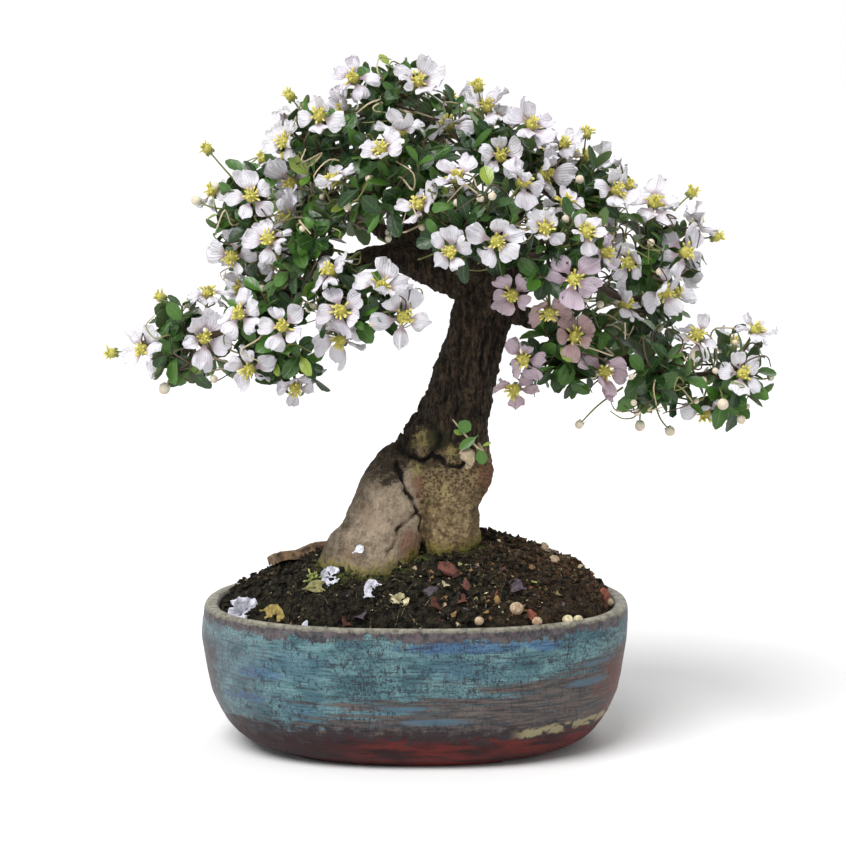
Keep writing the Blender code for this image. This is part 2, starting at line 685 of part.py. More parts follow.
def clear_of(shapes, trees):
    """Whether none of the shapes meets any of the trees."""
    own = tree_of(shapes)
    return not any(own.overlap(tree) for tree in trees)


def pad_direction(pad, point):
    """Direction of a point from a pad's middle, in the pad's own proportions."""
    offset = point - millimetres(pad.centre)
    return Vector([part / (radius * MM) for part, radius in zip(offset, pad.radii)])


def front_bloom_places():
    """Pad and place of each bloom seen from the front: on the front face of the pad it covers."""
    places = []
    for x, z in FRONT_BLOOMS:
        best = None
        for pad in FRONT_PADS:
            across = (x - pad.centre[0]) / pad.radii[0]
            up = (z - pad.centre[2]) / pad.radii[2]
            spare = 1 - across ** 2 - up ** 2
            y = pad.centre[1] - pad.radii[1] * math.sqrt(max(spare, 0.02))
            score = y * MM + OFF_PAD_COST * max(0.0, -spare)
            if best is None or score < best[0]:
                best = (score, pad, millimetres((x, y, z)))
        places.append(best[1:])
    return places


def back_bloom_places():
    """Pad and place of the blooms on the sides and back, by bearing and height on their pad."""
    by_name = {pad.name: pad for pad in PADS}
    places = []
    for name, bearing, height in BACK_BLOOMS:
        pad = by_name[name]
        turn, rise = math.radians(bearing), math.radians(height)
        direction = Vector((math.sin(turn) * math.cos(rise), -math.cos(turn) * math.cos(rise),
                            math.sin(rise)))
        spread = Vector([radius * part for radius, part in zip(pad.radii, direction)])
        places.append((pad, millimetres(pad.centre) + spread * MM))
    return places


def bloom_groups():
    """Blooms that share a pad and lie close together, up to three in a group."""
    waiting = front_bloom_places() + back_bloom_places()
    groups = []
    while waiting:
        pad, place = waiting.pop(0)
        group = [place]
        for other in list(waiting):
            near = other[0] is pad and (other[1] - place).length < GROUP_REACH
            if near and len(group) < BLOOMS_IN_GROUP:
                group.append(other[1])
                waiting.remove(other)
        groups.append((pad, group))
    return groups


def bloom_group_shapes(pad, places, core_tree, seed, grow=0.0):
    """A stalk that forks to each bloom of a group, and the blooms; None where it can't reach the core."""
    rng = random.Random(seed)
    centre = millimetres(pad.centre)
    middle = sum(places, Vector()) / len(places)
    inward = (centre - middle).normalized()
    hit = core_tree.ray_cast(middle - inward * RAY_START, inward)[0]
    if hit is None:
        return None
    root = hit - inward * STALK_GAP
    fork = hit - inward * min(FORK_REACH, 0.6 * (middle - hit).length)
    shapes = []
    for place in places:
        lean = FRONT_LEAN if place.y < BACK_HALF else BACK_LEAN
        facing = (pad_direction(pad, place).normalized() + lean).normalized()
        spin = Matrix.Rotation(rng.uniform(0, 2 * math.pi), 4, "Z")
        matrix = frame_matrix(place, facing.orthogonal(), facing) @ spin
        foot = root if len(places) == 1 else fork + (fork - place).normalized() * FORK_RADIUS * 0.6
        shapes.append(bloom_shape(matrix, foot, rng.random(), grow))
    if len(places) > 1:
        shapes.append(fork_shape(fork, root, grow))
    return shapes


def make_blooms(home, trunk_tree, core_trees, own_core_trees):
    """Every group of blooms that finds room; returns the search trees that leaves keep clear of."""
    material = make_material("petal_white")
    trees = []
    seed = 0
    queue = bloom_groups()
    while queue:
        pad, places = queue.pop(0)
        seed += 1
        shapes = bloom_group_shapes(pad, places, own_core_trees[pad.name], seed)
        grown = bloom_group_shapes(pad, places, own_core_trees[pad.name], seed, PROBE)
        others = [tree for name, tree in core_trees.items() if name != pad.name]
        free = shapes is not None and clear_of(grown, [trunk_tree] + others + trees)
        if free and clear_of(shapes, [own_core_trees[pad.name]]):
            name = "blooms_%s_%02d" % (pad.name, len(trees) + 1)
            fuse(name, shapes, material, home, millimetres(pad.centre))
            trees.append(tree_of(shapes))
        elif len(places) > 1:
            queue += [(pad, [place]) for place in places]
    return trees


def rosette_candidates(pad, rng):
    """Frames of leaf rosettes over a pad, those that face out of the crown first."""
    centre = millimetres(pad.centre)
    outward = (centre - CROWN_MIDDLE).normalized()
    golden = math.pi * (3 - math.sqrt(5))
    places = []
    for index in range(ROSETTE_TRIES):
        level = 1 - 2 * (index + 0.5) / ROSETTE_TRIES
        ring = math.sqrt(1 - level * level)
        direction = Vector((ring * math.cos(golden * index), ring * math.sin(golden * index), level))
        places.append((direction.dot(outward) + rng.uniform(-0.5, 0.5), direction))
    places.sort(key=lambda place: -place[0])
    for _, direction in places:
        spread = Vector([radius * part for radius, part in zip(pad.radii, direction)]) * MM
        place = centre + spread * ROSETTE_SHARE
        facing = (direction + ROSETTE_LEAN).normalized()
        matrix = frame_matrix(place, facing.orthogonal(), facing)
        root = centre.lerp(place, SHOOT_ROOT_SHARE / ROSETTE_SHARE)
        yield matrix @ Matrix.Rotation(rng.uniform(0, 2 * math.pi), 4, "Z"), root


def bud_shape(pad, tip, core_tree):
    """A round bud on a stalk that rises from a pad's core, or None where the stalk misses the core."""
    inward = (millimetres(pad.centre) - tip).normalized()
    hit = core_tree.ray_cast(tip, inward)[0]
    if hit is None:
        return None
    points = [hit + inward * 2.5 * MM, tip + inward * BUD_RADIUS, tip, tip - inward * BUD_RADIUS]
    radii = [STALK_RADIUS * 1.3, STALK_RADIUS, BUD_RADIUS, 0.4 * BUD_RADIUS]
    return stem_shape(points, radii)


def buds_by_pad(own_core_trees):
    """The buds that each pad carries."""
    buds = {pad.name: [] for pad in PADS}
    for tip in BUD_TIPS:
        point = millimetres(tip)
        pad = min(PADS, key=lambda item: pad_direction(item, point).length)
        shape = bud_shape(pad, point, own_core_trees[pad.name])
        if shape:
            buds[pad.name].append(shape)
    return buds


def make_sprays(home, trunk_cutter, trunk_tree, cores, core_trees, own_core_trees, bloom_trees):
    """A leafy spray for each pad: core, leaf rosettes and stalked buds in one body."""
    material = make_material("leaf_green")
    buds = buds_by_pad(own_core_trees)
    taken = list(bloom_trees)
    for number, pad in enumerate(PADS):
        rng = random.Random(100 + number)
        others = [tree for name, tree in core_trees.items() if name != pad.name]
        shapes, own = [cores[pad.name]], []
        for stalk in buds[pad.name]:
            if clear_of([stalk], [trunk_tree] + others + taken):
                shapes.append(stalk)
                own.append(tree_of([stalk]))
        rosettes = 0
        for matrix, root in rosette_candidates(pad, rng):
            if rosettes == pad.rosettes:
                break
            seed = rng.random()
            probe = leaf_rosette(matrix, root, seed, PROBE)
            if clear_of([probe], [trunk_tree] + others + taken + own):
                shapes.append(leaf_rosette(matrix, root, seed))
                own.append(tree_of([probe]))
                rosettes += 1
        fuse("leaf_spray_" + pad.name, shapes, material, home, millimetres(pad.centre), [trunk_cutter])
        taken.append(tree_of(shapes[1:]))


def make_sprout(home, trunk_tree):
    """The young shoot low on the trunk: a short stem with four leaves."""
    tip = millimetres(SPROUT_TIP)
    start = millimetres(SPROUT_ROOT)
    outward = SPROUT_OUTWARD.normalized()
    hit = trunk_tree.ray_cast(start + outward * RAY_START, -outward)[0]
    root = hit + outward * SPROUT_GAP
    shapes = [stem_shape([root, root.lerp(tip, 0.6), tip], SPROUT_STEM_RADII)]
    for place in SPROUT_LEAVES:
        along = millimetres(place) - tip
        matrix = frame_matrix(tip - along * 0.05, Vector((0, -1, 0.5)).cross(along), Vector((0, -1, 0.5)))
        blade = blade_points(SPROUT_LEAF_OUTLINE, along.length * 1.05, 0, 0)
        blade = [point + Vector((0, 0, BLADE_THICKNESS / 2)) for point in blade]
        outline = list(range(len(blade)))
        plate = plate_shape(blade, fan_across(outline), outline, BLADE_THICKNESS)
        shapes.append(moved(plate, matrix))
    return fuse("trunk_sprout", shapes, make_material("leaf_green"), home, tip)


def main():
    """Build the whole tree."""
    clear_scene()
    home = make_collection("miniature_holly_bonsai")
    cutters = make_collection("cutters")
    trunk_cutter = cutter_from("trunk_room", trunk_shapes(CLEAR), cutters)
    trunk_tree = BVHTree.FromPolygons([vert.co for vert in trunk_cutter.data.vertices],
                                      [tuple(face.vertices) for face in trunk_cutter.data.polygons])
    make_pot(home, cutters)
    make_screens(home)
    make_soil(home, trunk_cutter, cutters)
    fuse("trunk", trunk_shapes(), make_material("bark"), home, millimetres(TRUNK[0][:3]))
    cores = {pad.name: core_shape(pad) for pad in PADS}
    own_core_trees = {name: tree_of([core]) for name, core in cores.items()}
    core_trees = {pad.name: tree_of([core_shape(pad, PROBE)]) for pad in PADS}
    bloom_trees = make_blooms(home, trunk_tree, core_trees, own_core_trees)
    make_sprays(home, trunk_cutter, trunk_tree, cores, core_trees, own_core_trees, bloom_trees)
    make_sprout(home, trunk_tree)


main()
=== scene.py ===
"""Looks of the miniature holly bonsai: bark, leaves, blooms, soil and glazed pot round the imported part."""

import logging
import math
import random
from dataclasses import dataclass, field
from enum import Enum
from typing import Any, Iterator

import bpy
import numpy as np
from mathutils import Matrix, Vector, noise


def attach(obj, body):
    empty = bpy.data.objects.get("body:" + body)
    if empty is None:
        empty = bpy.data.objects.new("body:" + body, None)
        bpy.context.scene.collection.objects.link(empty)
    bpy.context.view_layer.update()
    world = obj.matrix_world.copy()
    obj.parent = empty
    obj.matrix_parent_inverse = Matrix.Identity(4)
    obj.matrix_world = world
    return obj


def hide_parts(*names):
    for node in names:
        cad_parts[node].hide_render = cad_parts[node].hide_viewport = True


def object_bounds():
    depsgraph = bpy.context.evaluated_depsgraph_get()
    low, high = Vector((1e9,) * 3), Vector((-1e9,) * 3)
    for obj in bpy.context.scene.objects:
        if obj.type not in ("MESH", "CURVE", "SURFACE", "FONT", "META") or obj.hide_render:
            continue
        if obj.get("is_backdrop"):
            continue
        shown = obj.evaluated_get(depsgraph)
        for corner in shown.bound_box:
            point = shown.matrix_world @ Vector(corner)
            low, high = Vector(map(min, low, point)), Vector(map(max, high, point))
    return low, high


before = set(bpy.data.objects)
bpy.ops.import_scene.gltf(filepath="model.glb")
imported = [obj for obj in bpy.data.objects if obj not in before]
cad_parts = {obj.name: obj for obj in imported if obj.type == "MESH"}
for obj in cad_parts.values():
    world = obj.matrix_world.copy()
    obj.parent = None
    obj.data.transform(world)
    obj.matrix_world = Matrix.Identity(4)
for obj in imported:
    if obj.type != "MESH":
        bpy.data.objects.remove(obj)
CAD_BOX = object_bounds()

LOG = logging.getLogger("bonsai")
MM = 0.001
BODY = "root"
UP = Vector((0.0, 0.0, 1.0))
# Seeds of all that chance places
CRUMB_SEED, GROWTH_SEED, PLAN_SEED = 7, 3, 11
BRANCH_SEED, PAD_SEED, BLOOM_SEED = 40, 500, 900
MOSS_SEED, LITTER_SEED, CHIP_SEED = 21, 33, 5
# A full turn in radians, for bearings that chance picks
FULL_TURN = 6.28


class Slot(Enum):
    """Material slots of the record."""

    GLAZE = "glazed_stoneware"
    SOIL = "bonsai_soil"
    BARK = "bark"
    LEAF = "leaf_green"
    PETAL = "petal_white"
    SCREEN = "screen_black"


# Small tools


def tint(red: float, green: float, blue: float) -> tuple[float, float, float, float]:
    """Turn a screen colour of 0 to 255 into the linear colour that shaders use.

    Args:
        red: its red.
        green: its green.
        blue: its blue.

    Returns:
        Red, green, blue and alpha.
    """
    linear = []
    for part in (red, green, blue):
        share = part / 255.0
        linear.append(share / 12.92 if share <= 0.04045 else ((share + 0.055) / 1.055) ** 2.4)
    return (linear[0], linear[1], linear[2], 1.0)


def smooth_step(value: float, low: float, high: float) -> float:
    """Rise smoothly from 0 at low to 1 at high."""
    share = min(1.0, max(0.0, (value - low) / (high - low)))
    return share * share * (3.0 - 2.0 * share)


def smooth_path(stations: Any, steps: int) -> np.ndarray:
    """Run a smooth curve through stations of any width.

    Args:
        stations: rows of numbers, such as x, y, z and radius.
        steps: points from one station to the next.

    Returns:
        One row for each point of the curve.
    """
    rows = np.asarray(stations, float)
    padded = np.vstack([2 * rows[0] - rows[1], rows, 2 * rows[-1] - rows[-2]])
    path = []
    for index in range(len(rows) - 1):
        before, low, high, after = padded[index:index + 4]
        for share in np.arange(steps) / steps:
            path.append(0.5 * (2 * low + (high - before) * share
                               + (2 * before - 5 * low + 4 * high - after) * share ** 2
                               + (3 * low - before - 3 * high + after) * share ** 3))
    path.append(rows[-1])
    return np.array(path)


def frame_matrix(origin: Vector, along: Vector, facing: Vector) -> Matrix:
    """Make a frame at the origin whose Y runs along one direction and whose Z leans to another.

    Args:
        origin: the frame's origin.
        along: where Y points.
        facing: where Z leans.

    Returns:
        The frame.
    """
    y_axis = along.normalized()
    x_axis = y_axis.cross(facing).normalized()
    z_axis = x_axis.cross(y_axis)
    turn = Matrix((x_axis, y_axis, z_axis)).transposed()
    return Matrix.Translation(origin) @ turn.to_4x4()


@dataclass
class Form:
    """A closed shape in millimetres.

    Attributes:
        points: x, y and z of each point.
        faces: point numbers of each face, counter-clockwise from outside.
        paint: a value at each point, by the name of its attribute.
    """

    points: np.ndarray
    faces: list[tuple[int, ...]]
    paint: dict[str, np.ndarray] = field(default_factory=dict)

    def placed(self, matrix: Matrix) -> "Form":
        """Give a copy that the matrix has moved."""
        turn = np.array(matrix)
        return Form(self.points @ turn[:3, :3].T + turn[:3, 3], self.faces, self.paint)


class Pile:
    """Gathers forms and turns them into one piece of the tree."""

    def __init__(self, *channels: str) -> None:
        """Start an empty pile.

        Args:
            channels: names of the values that every form of this pile carries.
        """
        self.paint: dict[str, list[np.ndarray]] = {name: [] for name in channels}
        self.points: list[np.ndarray] = []
        self.faces: list[tuple[int, ...]] = []
        self.finishes: list[int] = []
        self.count = 0

    def add(self, form: Form, finish: int = 0, **values: float) -> None:
        """Add a form.

        Args:
            form: what to add.
            finish: number of its material in the piece.
            values: one value for all its points, by channel, in place of the form's own.
        """
        base = self.count
        size = len(form.points)
        self.points.append(form.points)
        self.faces += [tuple(base + corner for corner in face) for face in form.faces]
        self.finishes += [finish] * len(form.faces)
        for name, rows in self.paint.items():
            if name in values:
                rows.append(np.full(size, values[name]))
            else:
                rows.append(form.paint.get(name, np.zeros(size)))
        self.count += size

    def make(self, name: str, slot: Slot, finishes: list[bpy.types.Material], replaced: list[str],
             crease: float = 50.0) -> bpy.types.Object:
        """Turn the pile into a piece that rides the tree's body.

        Args:
            name: the piece's name.
            slot: the record's slot, handed on to dress.
            finishes: its materials.
            replaced: the CAD nodes that it stands for.
            crease: angle in degrees above which an edge stays sharp.

        Returns:
            The new piece.
        """
        mesh = bpy.data.meshes.new(name)
        mesh.from_pydata((np.vstack(self.points) * MM).tolist(), [], self.faces)
        for title, rows in self.paint.items():
            layer = mesh.attributes.new(title, "FLOAT", "POINT")
            layer.data.foreach_set("value", np.concatenate(rows).astype(np.float32))
        for material in finishes:
            mesh.materials.append(material)
        mesh.polygons.foreach_set("material_index", self.finishes)
        mesh.shade_smooth()
        mesh.set_sharp_from_angle(angle=math.radians(crease))
        mesh.update()
        return dress(bpy.data.objects.new(name, mesh), slot, replaced)


def dress(piece: bpy.types.Object, slot: Slot, replaced: list[str]) -> bpy.types.Object:
    """Put a piece into the scene, hang it on the tree's body and hide the CAD nodes that it stands for.

    Args:
        piece: the finished piece.
        slot: the record's slot; not used.
        replaced: the CAD nodes that it stands for.

    Returns:
        The same piece.
    """
    if piece.name not in bpy.context.scene.collection.objects:
        bpy.context.scene.collection.objects.link(piece)
    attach(piece, BODY)
    if replaced:
        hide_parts(*replaced)
    LOG.info("%s: %d faces", piece.name, len(piece.data.polygons))
    return piece


# Closed shapes


def tube_form(points: list[Vector], radii: list[float], sides: int) -> Form:
    """Make a closed tube along a path, with a value 'along' from 0 at its root to 1 at its tip.

    Args:
        points: the middle of each ring.
        radii: the radius of each ring.
        sides: the sides of each ring.

    Returns:
        The tube.
    """
    side = (points[1] - points[0]).orthogonal().normalized()
    rows = []
    for index, point in enumerate(points):
        axis = (points[min(index + 1, len(points) - 1)] - points[max(index - 1, 0)]).normalized()
        side = (side - axis * side.dot(axis)).normalized()
        other = axis.cross(side)
        for corner in range(sides):
            turn = 2 * math.pi * corner / sides
            rows.append(point + (side * math.cos(turn) + other * math.sin(turn)) * radii[index])
    faces = [tuple(reversed(range(sides)))]
    for index in range(len(points) - 1):
        low = index * sides
        for corner in range(sides):
            following = (corner + 1) % sides
            faces.append((low + corner, low + following, low + sides + following, low + sides + corner))
    last = (len(points) - 1) * sides
    faces.append(tuple(range(last, last + sides)))
    along = np.repeat(np.linspace(0, 1, len(points)), sides)
    return Form(np.array(rows, float), faces, {"along": along})


def skin_form(rings: list[np.ndarray]) -> Form:
    """Make a closed body through rings of the same count, counter-clockwise from above, from the first up.

    Args:
        rings: x, y and z of each ring.

    Returns:
        The body.
    """
    sides = len(rings[0])
    faces = [tuple(reversed(range(sides)))]
    for index in range(len(rings) - 1):
        low = index * sides
        for corner in range(sides):
            following = (corner + 1) % sides
            faces.append((low + corner, low + following, low + sides + following, low + sides + corner))
    last = (len(rings) - 1) * sides
    faces.append(tuple(range(last, last + sides)))
    return Form(np.vstack(rings), faces)


def sheet_form(grid: np.ndarray, thickness: float) -> Form:
    """Close a grid of points into a thin blade.

    Args:
        grid: rows along the blade, columns across it, with x, y and z.
        thickness: its thickness along Z.

    Returns:
        The blade, with the values 'along' 0 to 1, 'across' -1 to 1, and 'under' 1 on its lower face.
    """
    rows, columns = grid.shape[:2]
    size = rows * columns
    top = grid.reshape(-1, 3)
    points = np.vstack([top, top - np.array((0.0, 0.0, thickness))])
    faces = []
    for row in range(rows - 1):
        for column in range(columns - 1):
            near = row * columns + column
            quad = (near, near + 1, near + columns + 1, near + columns)
            faces.append(quad)
            faces.append(tuple(size + corner for corner in reversed(quad)))
    rim = list(range(columns))
    rim += [row * columns + columns - 1 for row in range(1, rows)]
    rim += [(rows - 1) * columns + column for column in range(columns - 2, -1, -1)]
    rim += [row * columns for row in range(rows - 2, 0, -1)]
    for index, corner in enumerate(rim):
        following = rim[(index + 1) % len(rim)]
        faces.append((corner, size + corner, size + following, following))
    along, across = np.meshgrid(np.linspace(0, 1, rows), np.linspace(-1, 1, columns), indexing="ij")
    return Form(points, faces, {
        "along": np.tile(along.ravel(), 2),
        "across": np.tile(across.ravel(), 2),
        "under": np.repeat((0.0, 1.0), size),
    })


def ball_form(radius: float, detail: int = 1) -> Form:
    """Make a small ball from an eight-sided gem, each side split in four as often as detail says.

    Args:
        radius: its radius.
        detail: how often each side is split.

    Returns:
        The ball, with its height of 0 to 1 as 'along'.
    """
    points = [Vector(p) for p in ((1, 0, 0), (-1, 0, 0), (0, 1, 0), (0, -1, 0), (0, 0, 1), (0, 0, -1))]
    faces = [(0, 2, 4), (2, 1, 4), (1, 3, 4), (3, 0, 4), (2, 0, 5), (1, 2, 5), (3, 1, 5), (0, 3, 5)]
    for _ in range(detail):
        middles: dict[tuple[int, int], int] = {}

        def middle(first: int, second: int) -> int:
            """Number of the point half way between two others.

            Args:
                first: number of one point.
                second: number of the other.

            Returns:
                Its number.
            """
            key = (min(first, second), max(first, second))
            if key not in middles:
                middles[key] = len(points)
                points.append(((points[first] + points[second]) / 2).normalized())
            return middles[key]

        split = []
        for a, b, c in faces:
            ab, bc, ca = middle(a, b), middle(b, c), middle(c, a)
            split += [(a, ab, ca), (ab, b, bc), (ca, bc, c), (ab, bc, ca)]
        faces = split
    height = np.array([(p.z + 1) / 2 for p in points])
    return Form(np.array(points, float) * radius, list(faces), {"along": height})


# Layout of the tree, in millimetres, close to the part's


@dataclass(frozen=True)
class Pad:
    """One leafy cloud of the crown: its middle, its radii and how many shoots fill it."""

    name: str
    centre: tuple[float, float, float]
    radii: tuple[float, float, float]
    shoots: int = 13

    def direction(self, point: Vector) -> Vector:
        """Direction of a point from the middle, in the pad's own proportions."""
        return Vector([(part - middle) / radius
                       for part, middle, radius in zip(point, self.centre, self.radii)])

    def surface(self, direction: Vector, share: float = 1.0) -> Vector:
        """The point at a share of the pad's size in one direction."""
        return Vector([middle + radius * part * share
                       for middle, radius, part in zip(self.centre, self.radii, direction)])


PADS = (
    Pad("left_tip", (-72, -2, 134), (18, 17, 13)),
    Pad("left_low", (-41, -12, 138), (21, 18, 17), 20),
    Pad("left_front", (-16, -25, 149), (18, 14, 13), 13),
    Pad("left_high", (-49, 0, 175), (18, 20, 18), 15),
    Pad("left_mid", (-31, -18, 166), (16, 15, 13), 16),
    Pad("top_left", (-26, -5, 195), (20, 21, 18), 16),
    Pad("top", (-8, 4, 211), (17, 20, 15), 14),
    Pad("heart", (-4, -25, 186), (20, 17, 17), 18),
    Pad("top_right", (25, -2, 192), (21, 22, 16), 16),
    Pad("mid_front", (16, -40, 174), (19, 15, 15), 14),
    Pad("right_high", (51, 0, 180), (19, 20, 15), 14),
    Pad("right_front", (42, -30, 164), (21, 16, 16), 15),
    Pad("right", (73, -3, 164), (19, 19, 16), 14),
    Pad("right_low", (47, -14, 136), (22, 17, 16), 18),
    Pad("right_low_mid", (74, -8, 125), (20, 17, 15), 15),
    Pad("right_tip", (99, -1, 123), (17, 16, 15), 13),
    Pad("back_left", (-30, 34, 179), (22, 21, 18), 17),
    Pad("back_top", (9, 31, 200), (22, 20, 16)),
    Pad("back_right", (49, 33, 178), (22, 20, 17)),
    Pad("back_low", (8, 49, 166), (23, 17, 15)),
    Pad("back_right_low", (71, 29, 143), (20, 18, 14)),
    Pad("back_left_low", (-46, 26, 148), (20, 18, 14)),
)
FRONT_PADS = PADS[:16]
CROWN_MIDDLE = Vector((8, 0, 160))

TRUNK = ((3, 4, 46, 16.5), (3, 4, 62, 16.8), (5.5, 3, 76, 15.6), (8.5, 2, 88, 16.2), (9.5, 1, 98, 15),
         (11.5, 0, 108, 12.7), (14.5, 0, 117, 10.6), (17, 0, 127, 9.6), (20, 0, 138, 9.3),
         (23, 0, 148, 9.6), (25.5, 1, 156, 8), (27, 2, 162, 5))
LEFT_LOBE = ((-16.5, -9, 48, 15), (-14.8, -11, 64, 16), (-10, -11, 77, 13.6), (-4.5, -8, 88, 11.6),
             (1.5, -4, 98, 9), (7, -1, 106, 5))
RIGHT_LOBE = ((9.5, -5, 50, 9.5), (9.5, -7.5, 63, 10.8), (10.5, -8.5, 76, 11.8), (12.5, -6.5, 88, 12),
              (12.5, -3, 98, 8.5))
KNOT = ((3, -3, 101, 4.6), (1.5, -12.6, 102.2, 3.6))
CUT_STUB = ((17, -4, 96.5, 3.2), (17, -17.4, 97, 2.6))
LIMBS = (
    ((23, 0, 151, 7), (13, -2, 155, 6.6), (3, -4, 158.5, 5.8), (-7, -6, 162, 4.6), (-21, -8, 160, 3.0),
     (-38, -8, 152, 2.2), (-52, -5, 144, 1.7)),
    ((-3, -4, 161.5, 3.4), (-1.5, 0, 173, 3), (-3, 3, 184, 2.4), (-7, 4, 197, 1.8)),
    ((26, 1, 155, 5.4), (29.5, 4, 168, 3.9), (34, 5, 178, 2.6), (40, 4, 185, 1.8)),
    ((27, 1, 151, 5), (41, 4, 154.5, 3.6), (54, 5, 160, 2.6), (62, 3, 165, 1.8)),
    ((25, -1, 145, 4.2), (38, -3, 141, 3), (53, -4, 133, 2.3), (76, -3, 125, 1.7)),
    ((20, 3, 152, 5), (6, 19, 161, 3.4), (-14, 29, 169, 2.4)),
    ((27, 3, 151, 5), (36, 20, 160, 3.3), (43, 29, 167, 2.2)),
    ((20, -4, 155, 4), (15, -17, 164, 2.8), (13, -26, 170, 2)),
)

# Blooms seen from the front: x and z
FRONT_BLOOMS = ((-19, 218), (0, 217), (-10, 196), (-30, 206), (23, 208), (36, 203),
                (48, 196), (-52, 181), (-24, 187), (-45, 168), (-68, 148), (-55, 144), (-68, 136),
                (-42, 141), (-39, 122), (-26, 158), (-11, 154), (-5, 145), (11, 167), (24, 170),
                (32, 186), (40, 172), (52, 171), (63, 183), (76, 178), (68, 161), (31, 153),
                (50, 138), (66, 146), (42, 148), (35, 131), (33, 121), (92, 135), (110, 136))
# Blooms on the sides and back: pad, bearing and height in degrees
BACK_BLOOMS = (("back_left", 150, 20), ("back_left", 200, -10), ("back_top", 170, 40),
               ("back_top", 215, 10), ("back_right", 160, 15), ("back_right", 120, 40),
               ("back_low", 185, -15), ("back_right_low", 150, 10), ("back_left_low", 205, 5),
               ("left_high", 250, 20), ("right", 100, 25))
# Round buds, and bosses that have shed their petals: x, y and z of each tip
BUD_TIPS = ((-71, -6, 180), (-82, -8, 119), (53, -14, 108), (73, -10, 107), (83, -8, 105), (99, -17, 115),
            (106, -10, 109), (40, 62, 162))
SPENT_TIPS = ((-99, -2, 130), (-67, -4, 196), (-84, 8, 147), (89, -4, 182), (97, -3, 168), (55, -4, 201),
              (-40, -6, 213), (20, -8, 216), (-52, 52, 192))
# More blooms that fill each pad: how many it gets
MORE_BLOOMS = {"left_tip": 2, "left_low": 2, "left_front": 2, "left_high": 3, "left_mid": 2, "top_left": 4,
               "top": 3, "heart": 1, "top_right": 5, "mid_front": 4, "right_high": 5, "right_front": 3,
               "right": 4, "right_low": 1, "right_low_mid": 0, "right_tip": 3, "back_left": 2,
               "back_top": 2, "back_right": 2, "back_low": 1, "back_right_low": 2, "back_left_low": 2}


# Shader nodes


class Sheet:
    """Places and joins the nodes of one shader tree in short calls."""

    def __init__(self, tree: bpy.types.NodeTree) -> None:
        """Work in one tree."""
        self.tree = tree

    def join(self, value: Any, socket: bpy.types.NodeSocket) -> None:
        """Feed a socket from another socket, or give it a plain value.

        Args:
            value: a socket or a plain value.
            socket: what it feeds.
        """
        if isinstance(value, bpy.types.NodeSocket):
            self.tree.links.new(value, socket)
        else:
            socket.default_value = value

    def node(self, kind: str, inputs: dict[Any, Any], **settings: Any) -> bpy.types.Node:
        """Place a node.

        Args:
            kind: its type, without the leading ShaderNode.
            inputs: a socket or a plain value for each input, by name or number.
            settings: the node's own settings.

        Returns:
            The node.
        """
        made = self.tree.nodes.new("ShaderNode" + kind)
        for key, value in settings.items():
            setattr(made, key, value)
        for key, value in inputs.items():
            self.join(value, made.inputs[key])
        return made

    def sum(self, operation: str, first: Any, second: Any = 0.0) -> bpy.types.NodeSocket:
        """Do one operation on two numbers."""
        return self.node("Math", {0: first, 1: second}, operation=operation).outputs[0]

    def times(self, *values: Any) -> bpy.types.NodeSocket:
        """Multiply several masks.

        Args:
            values: the masks.

        Returns:
            The product.
        """
        product = values[0]
        for value in values[1:]:
            product = self.sum("MULTIPLY", product, value)
        return product

    def shift(self, value: Any, amount: float, base: Any) -> bpy.types.NodeSocket:
        """Add a mask of 0 to 1, centred on zero and as strong as the amount, to a base."""
        centred = self.sum("MULTIPLY", self.sum("SUBTRACT", value, 0.5), amount)
        return self.sum("ADD", centred, base)

    def step(self, value: Any, low: float, high: float) -> bpy.types.NodeSocket:
        """Rise smoothly from 0 at low to 1 at high, or fall where low is the higher."""
        return self.node("MapRange", {"Value": value, "From Min": low, "From Max": high},
                         interpolation_type="SMOOTHSTEP").outputs[0]

    def blend(self, share: Any, low: Any, high: Any, way: str = "MIX") -> bpy.types.NodeSocket:
        """Mix two colours."""
        made = self.node("Mix", {0: share, 6: low, 7: high}, data_type="RGBA", blend_type=way)
        return made.outputs[2]

    def noise(self, place: Any, scale: float, detail: float = 3.0,
              roughness: float = 0.55) -> bpy.types.NodeSocket:
        """Cloudy noise of 0 to 1; the scale is in features for each millimetre."""
        return self.node("TexNoise", {"Vector": place, "Scale": scale, "Detail": detail,
                                      "Roughness": roughness}).outputs[0]

    def painted(self, name: str) -> bpy.types.NodeSocket:
        """A value painted on the mesh."""
        return self.node("Attribute", {}, attribute_name=name).outputs["Fac"]

    def place(self, stretch: tuple[float, float, float] = (1.0, 1.0, 1.0),
              offset: tuple[float, float, float] = (0.0, 0.0, 0.0)) -> bpy.types.NodeSocket:
        """The place on the tree in millimetres, stretched and shifted.

        Args:
            stretch: factor of each direction.
            offset: what is added after it.

        Returns:
            The place.
        """
        coordinate = self.node("TexCoord", {}).outputs["Object"]
        factors = tuple(part / MM for part in stretch)
        return self.node("VectorMath", {0: coordinate, 1: factors, 2: offset},
                         operation="MULTIPLY_ADD").outputs[0]

    def parts(self, place: Any) -> tuple[bpy.types.NodeSocket, ...]:
        """The x, y and z of a place."""
        return tuple(self.node("SeparateXYZ", {0: place}).outputs)

    def group(self, tree: bpy.types.NodeTree, **inputs: Any) -> bpy.types.Node:
        """Place a shared effect with its own values.

        Args:
            tree: the effect's tree.
            inputs: a socket or a value for each input.

        Returns:
            The node.
        """
        made = self.tree.nodes.new("ShaderNodeGroup")
        made.node_tree = tree
        for key, value in inputs.items():
            self.join(value, made.inputs[key])
        return made

    def bump(self, shader: bpy.types.Node, height: Any, distance: float, strength: float = 1.0) -> None:
        """Feed the shader's normal from a height; the distance is in millimetres."""
        made = self.node("Bump", {"Height": height, "Distance": distance * MM, "Strength": strength})
        self.join(made.outputs[0], shader.inputs["Normal"])


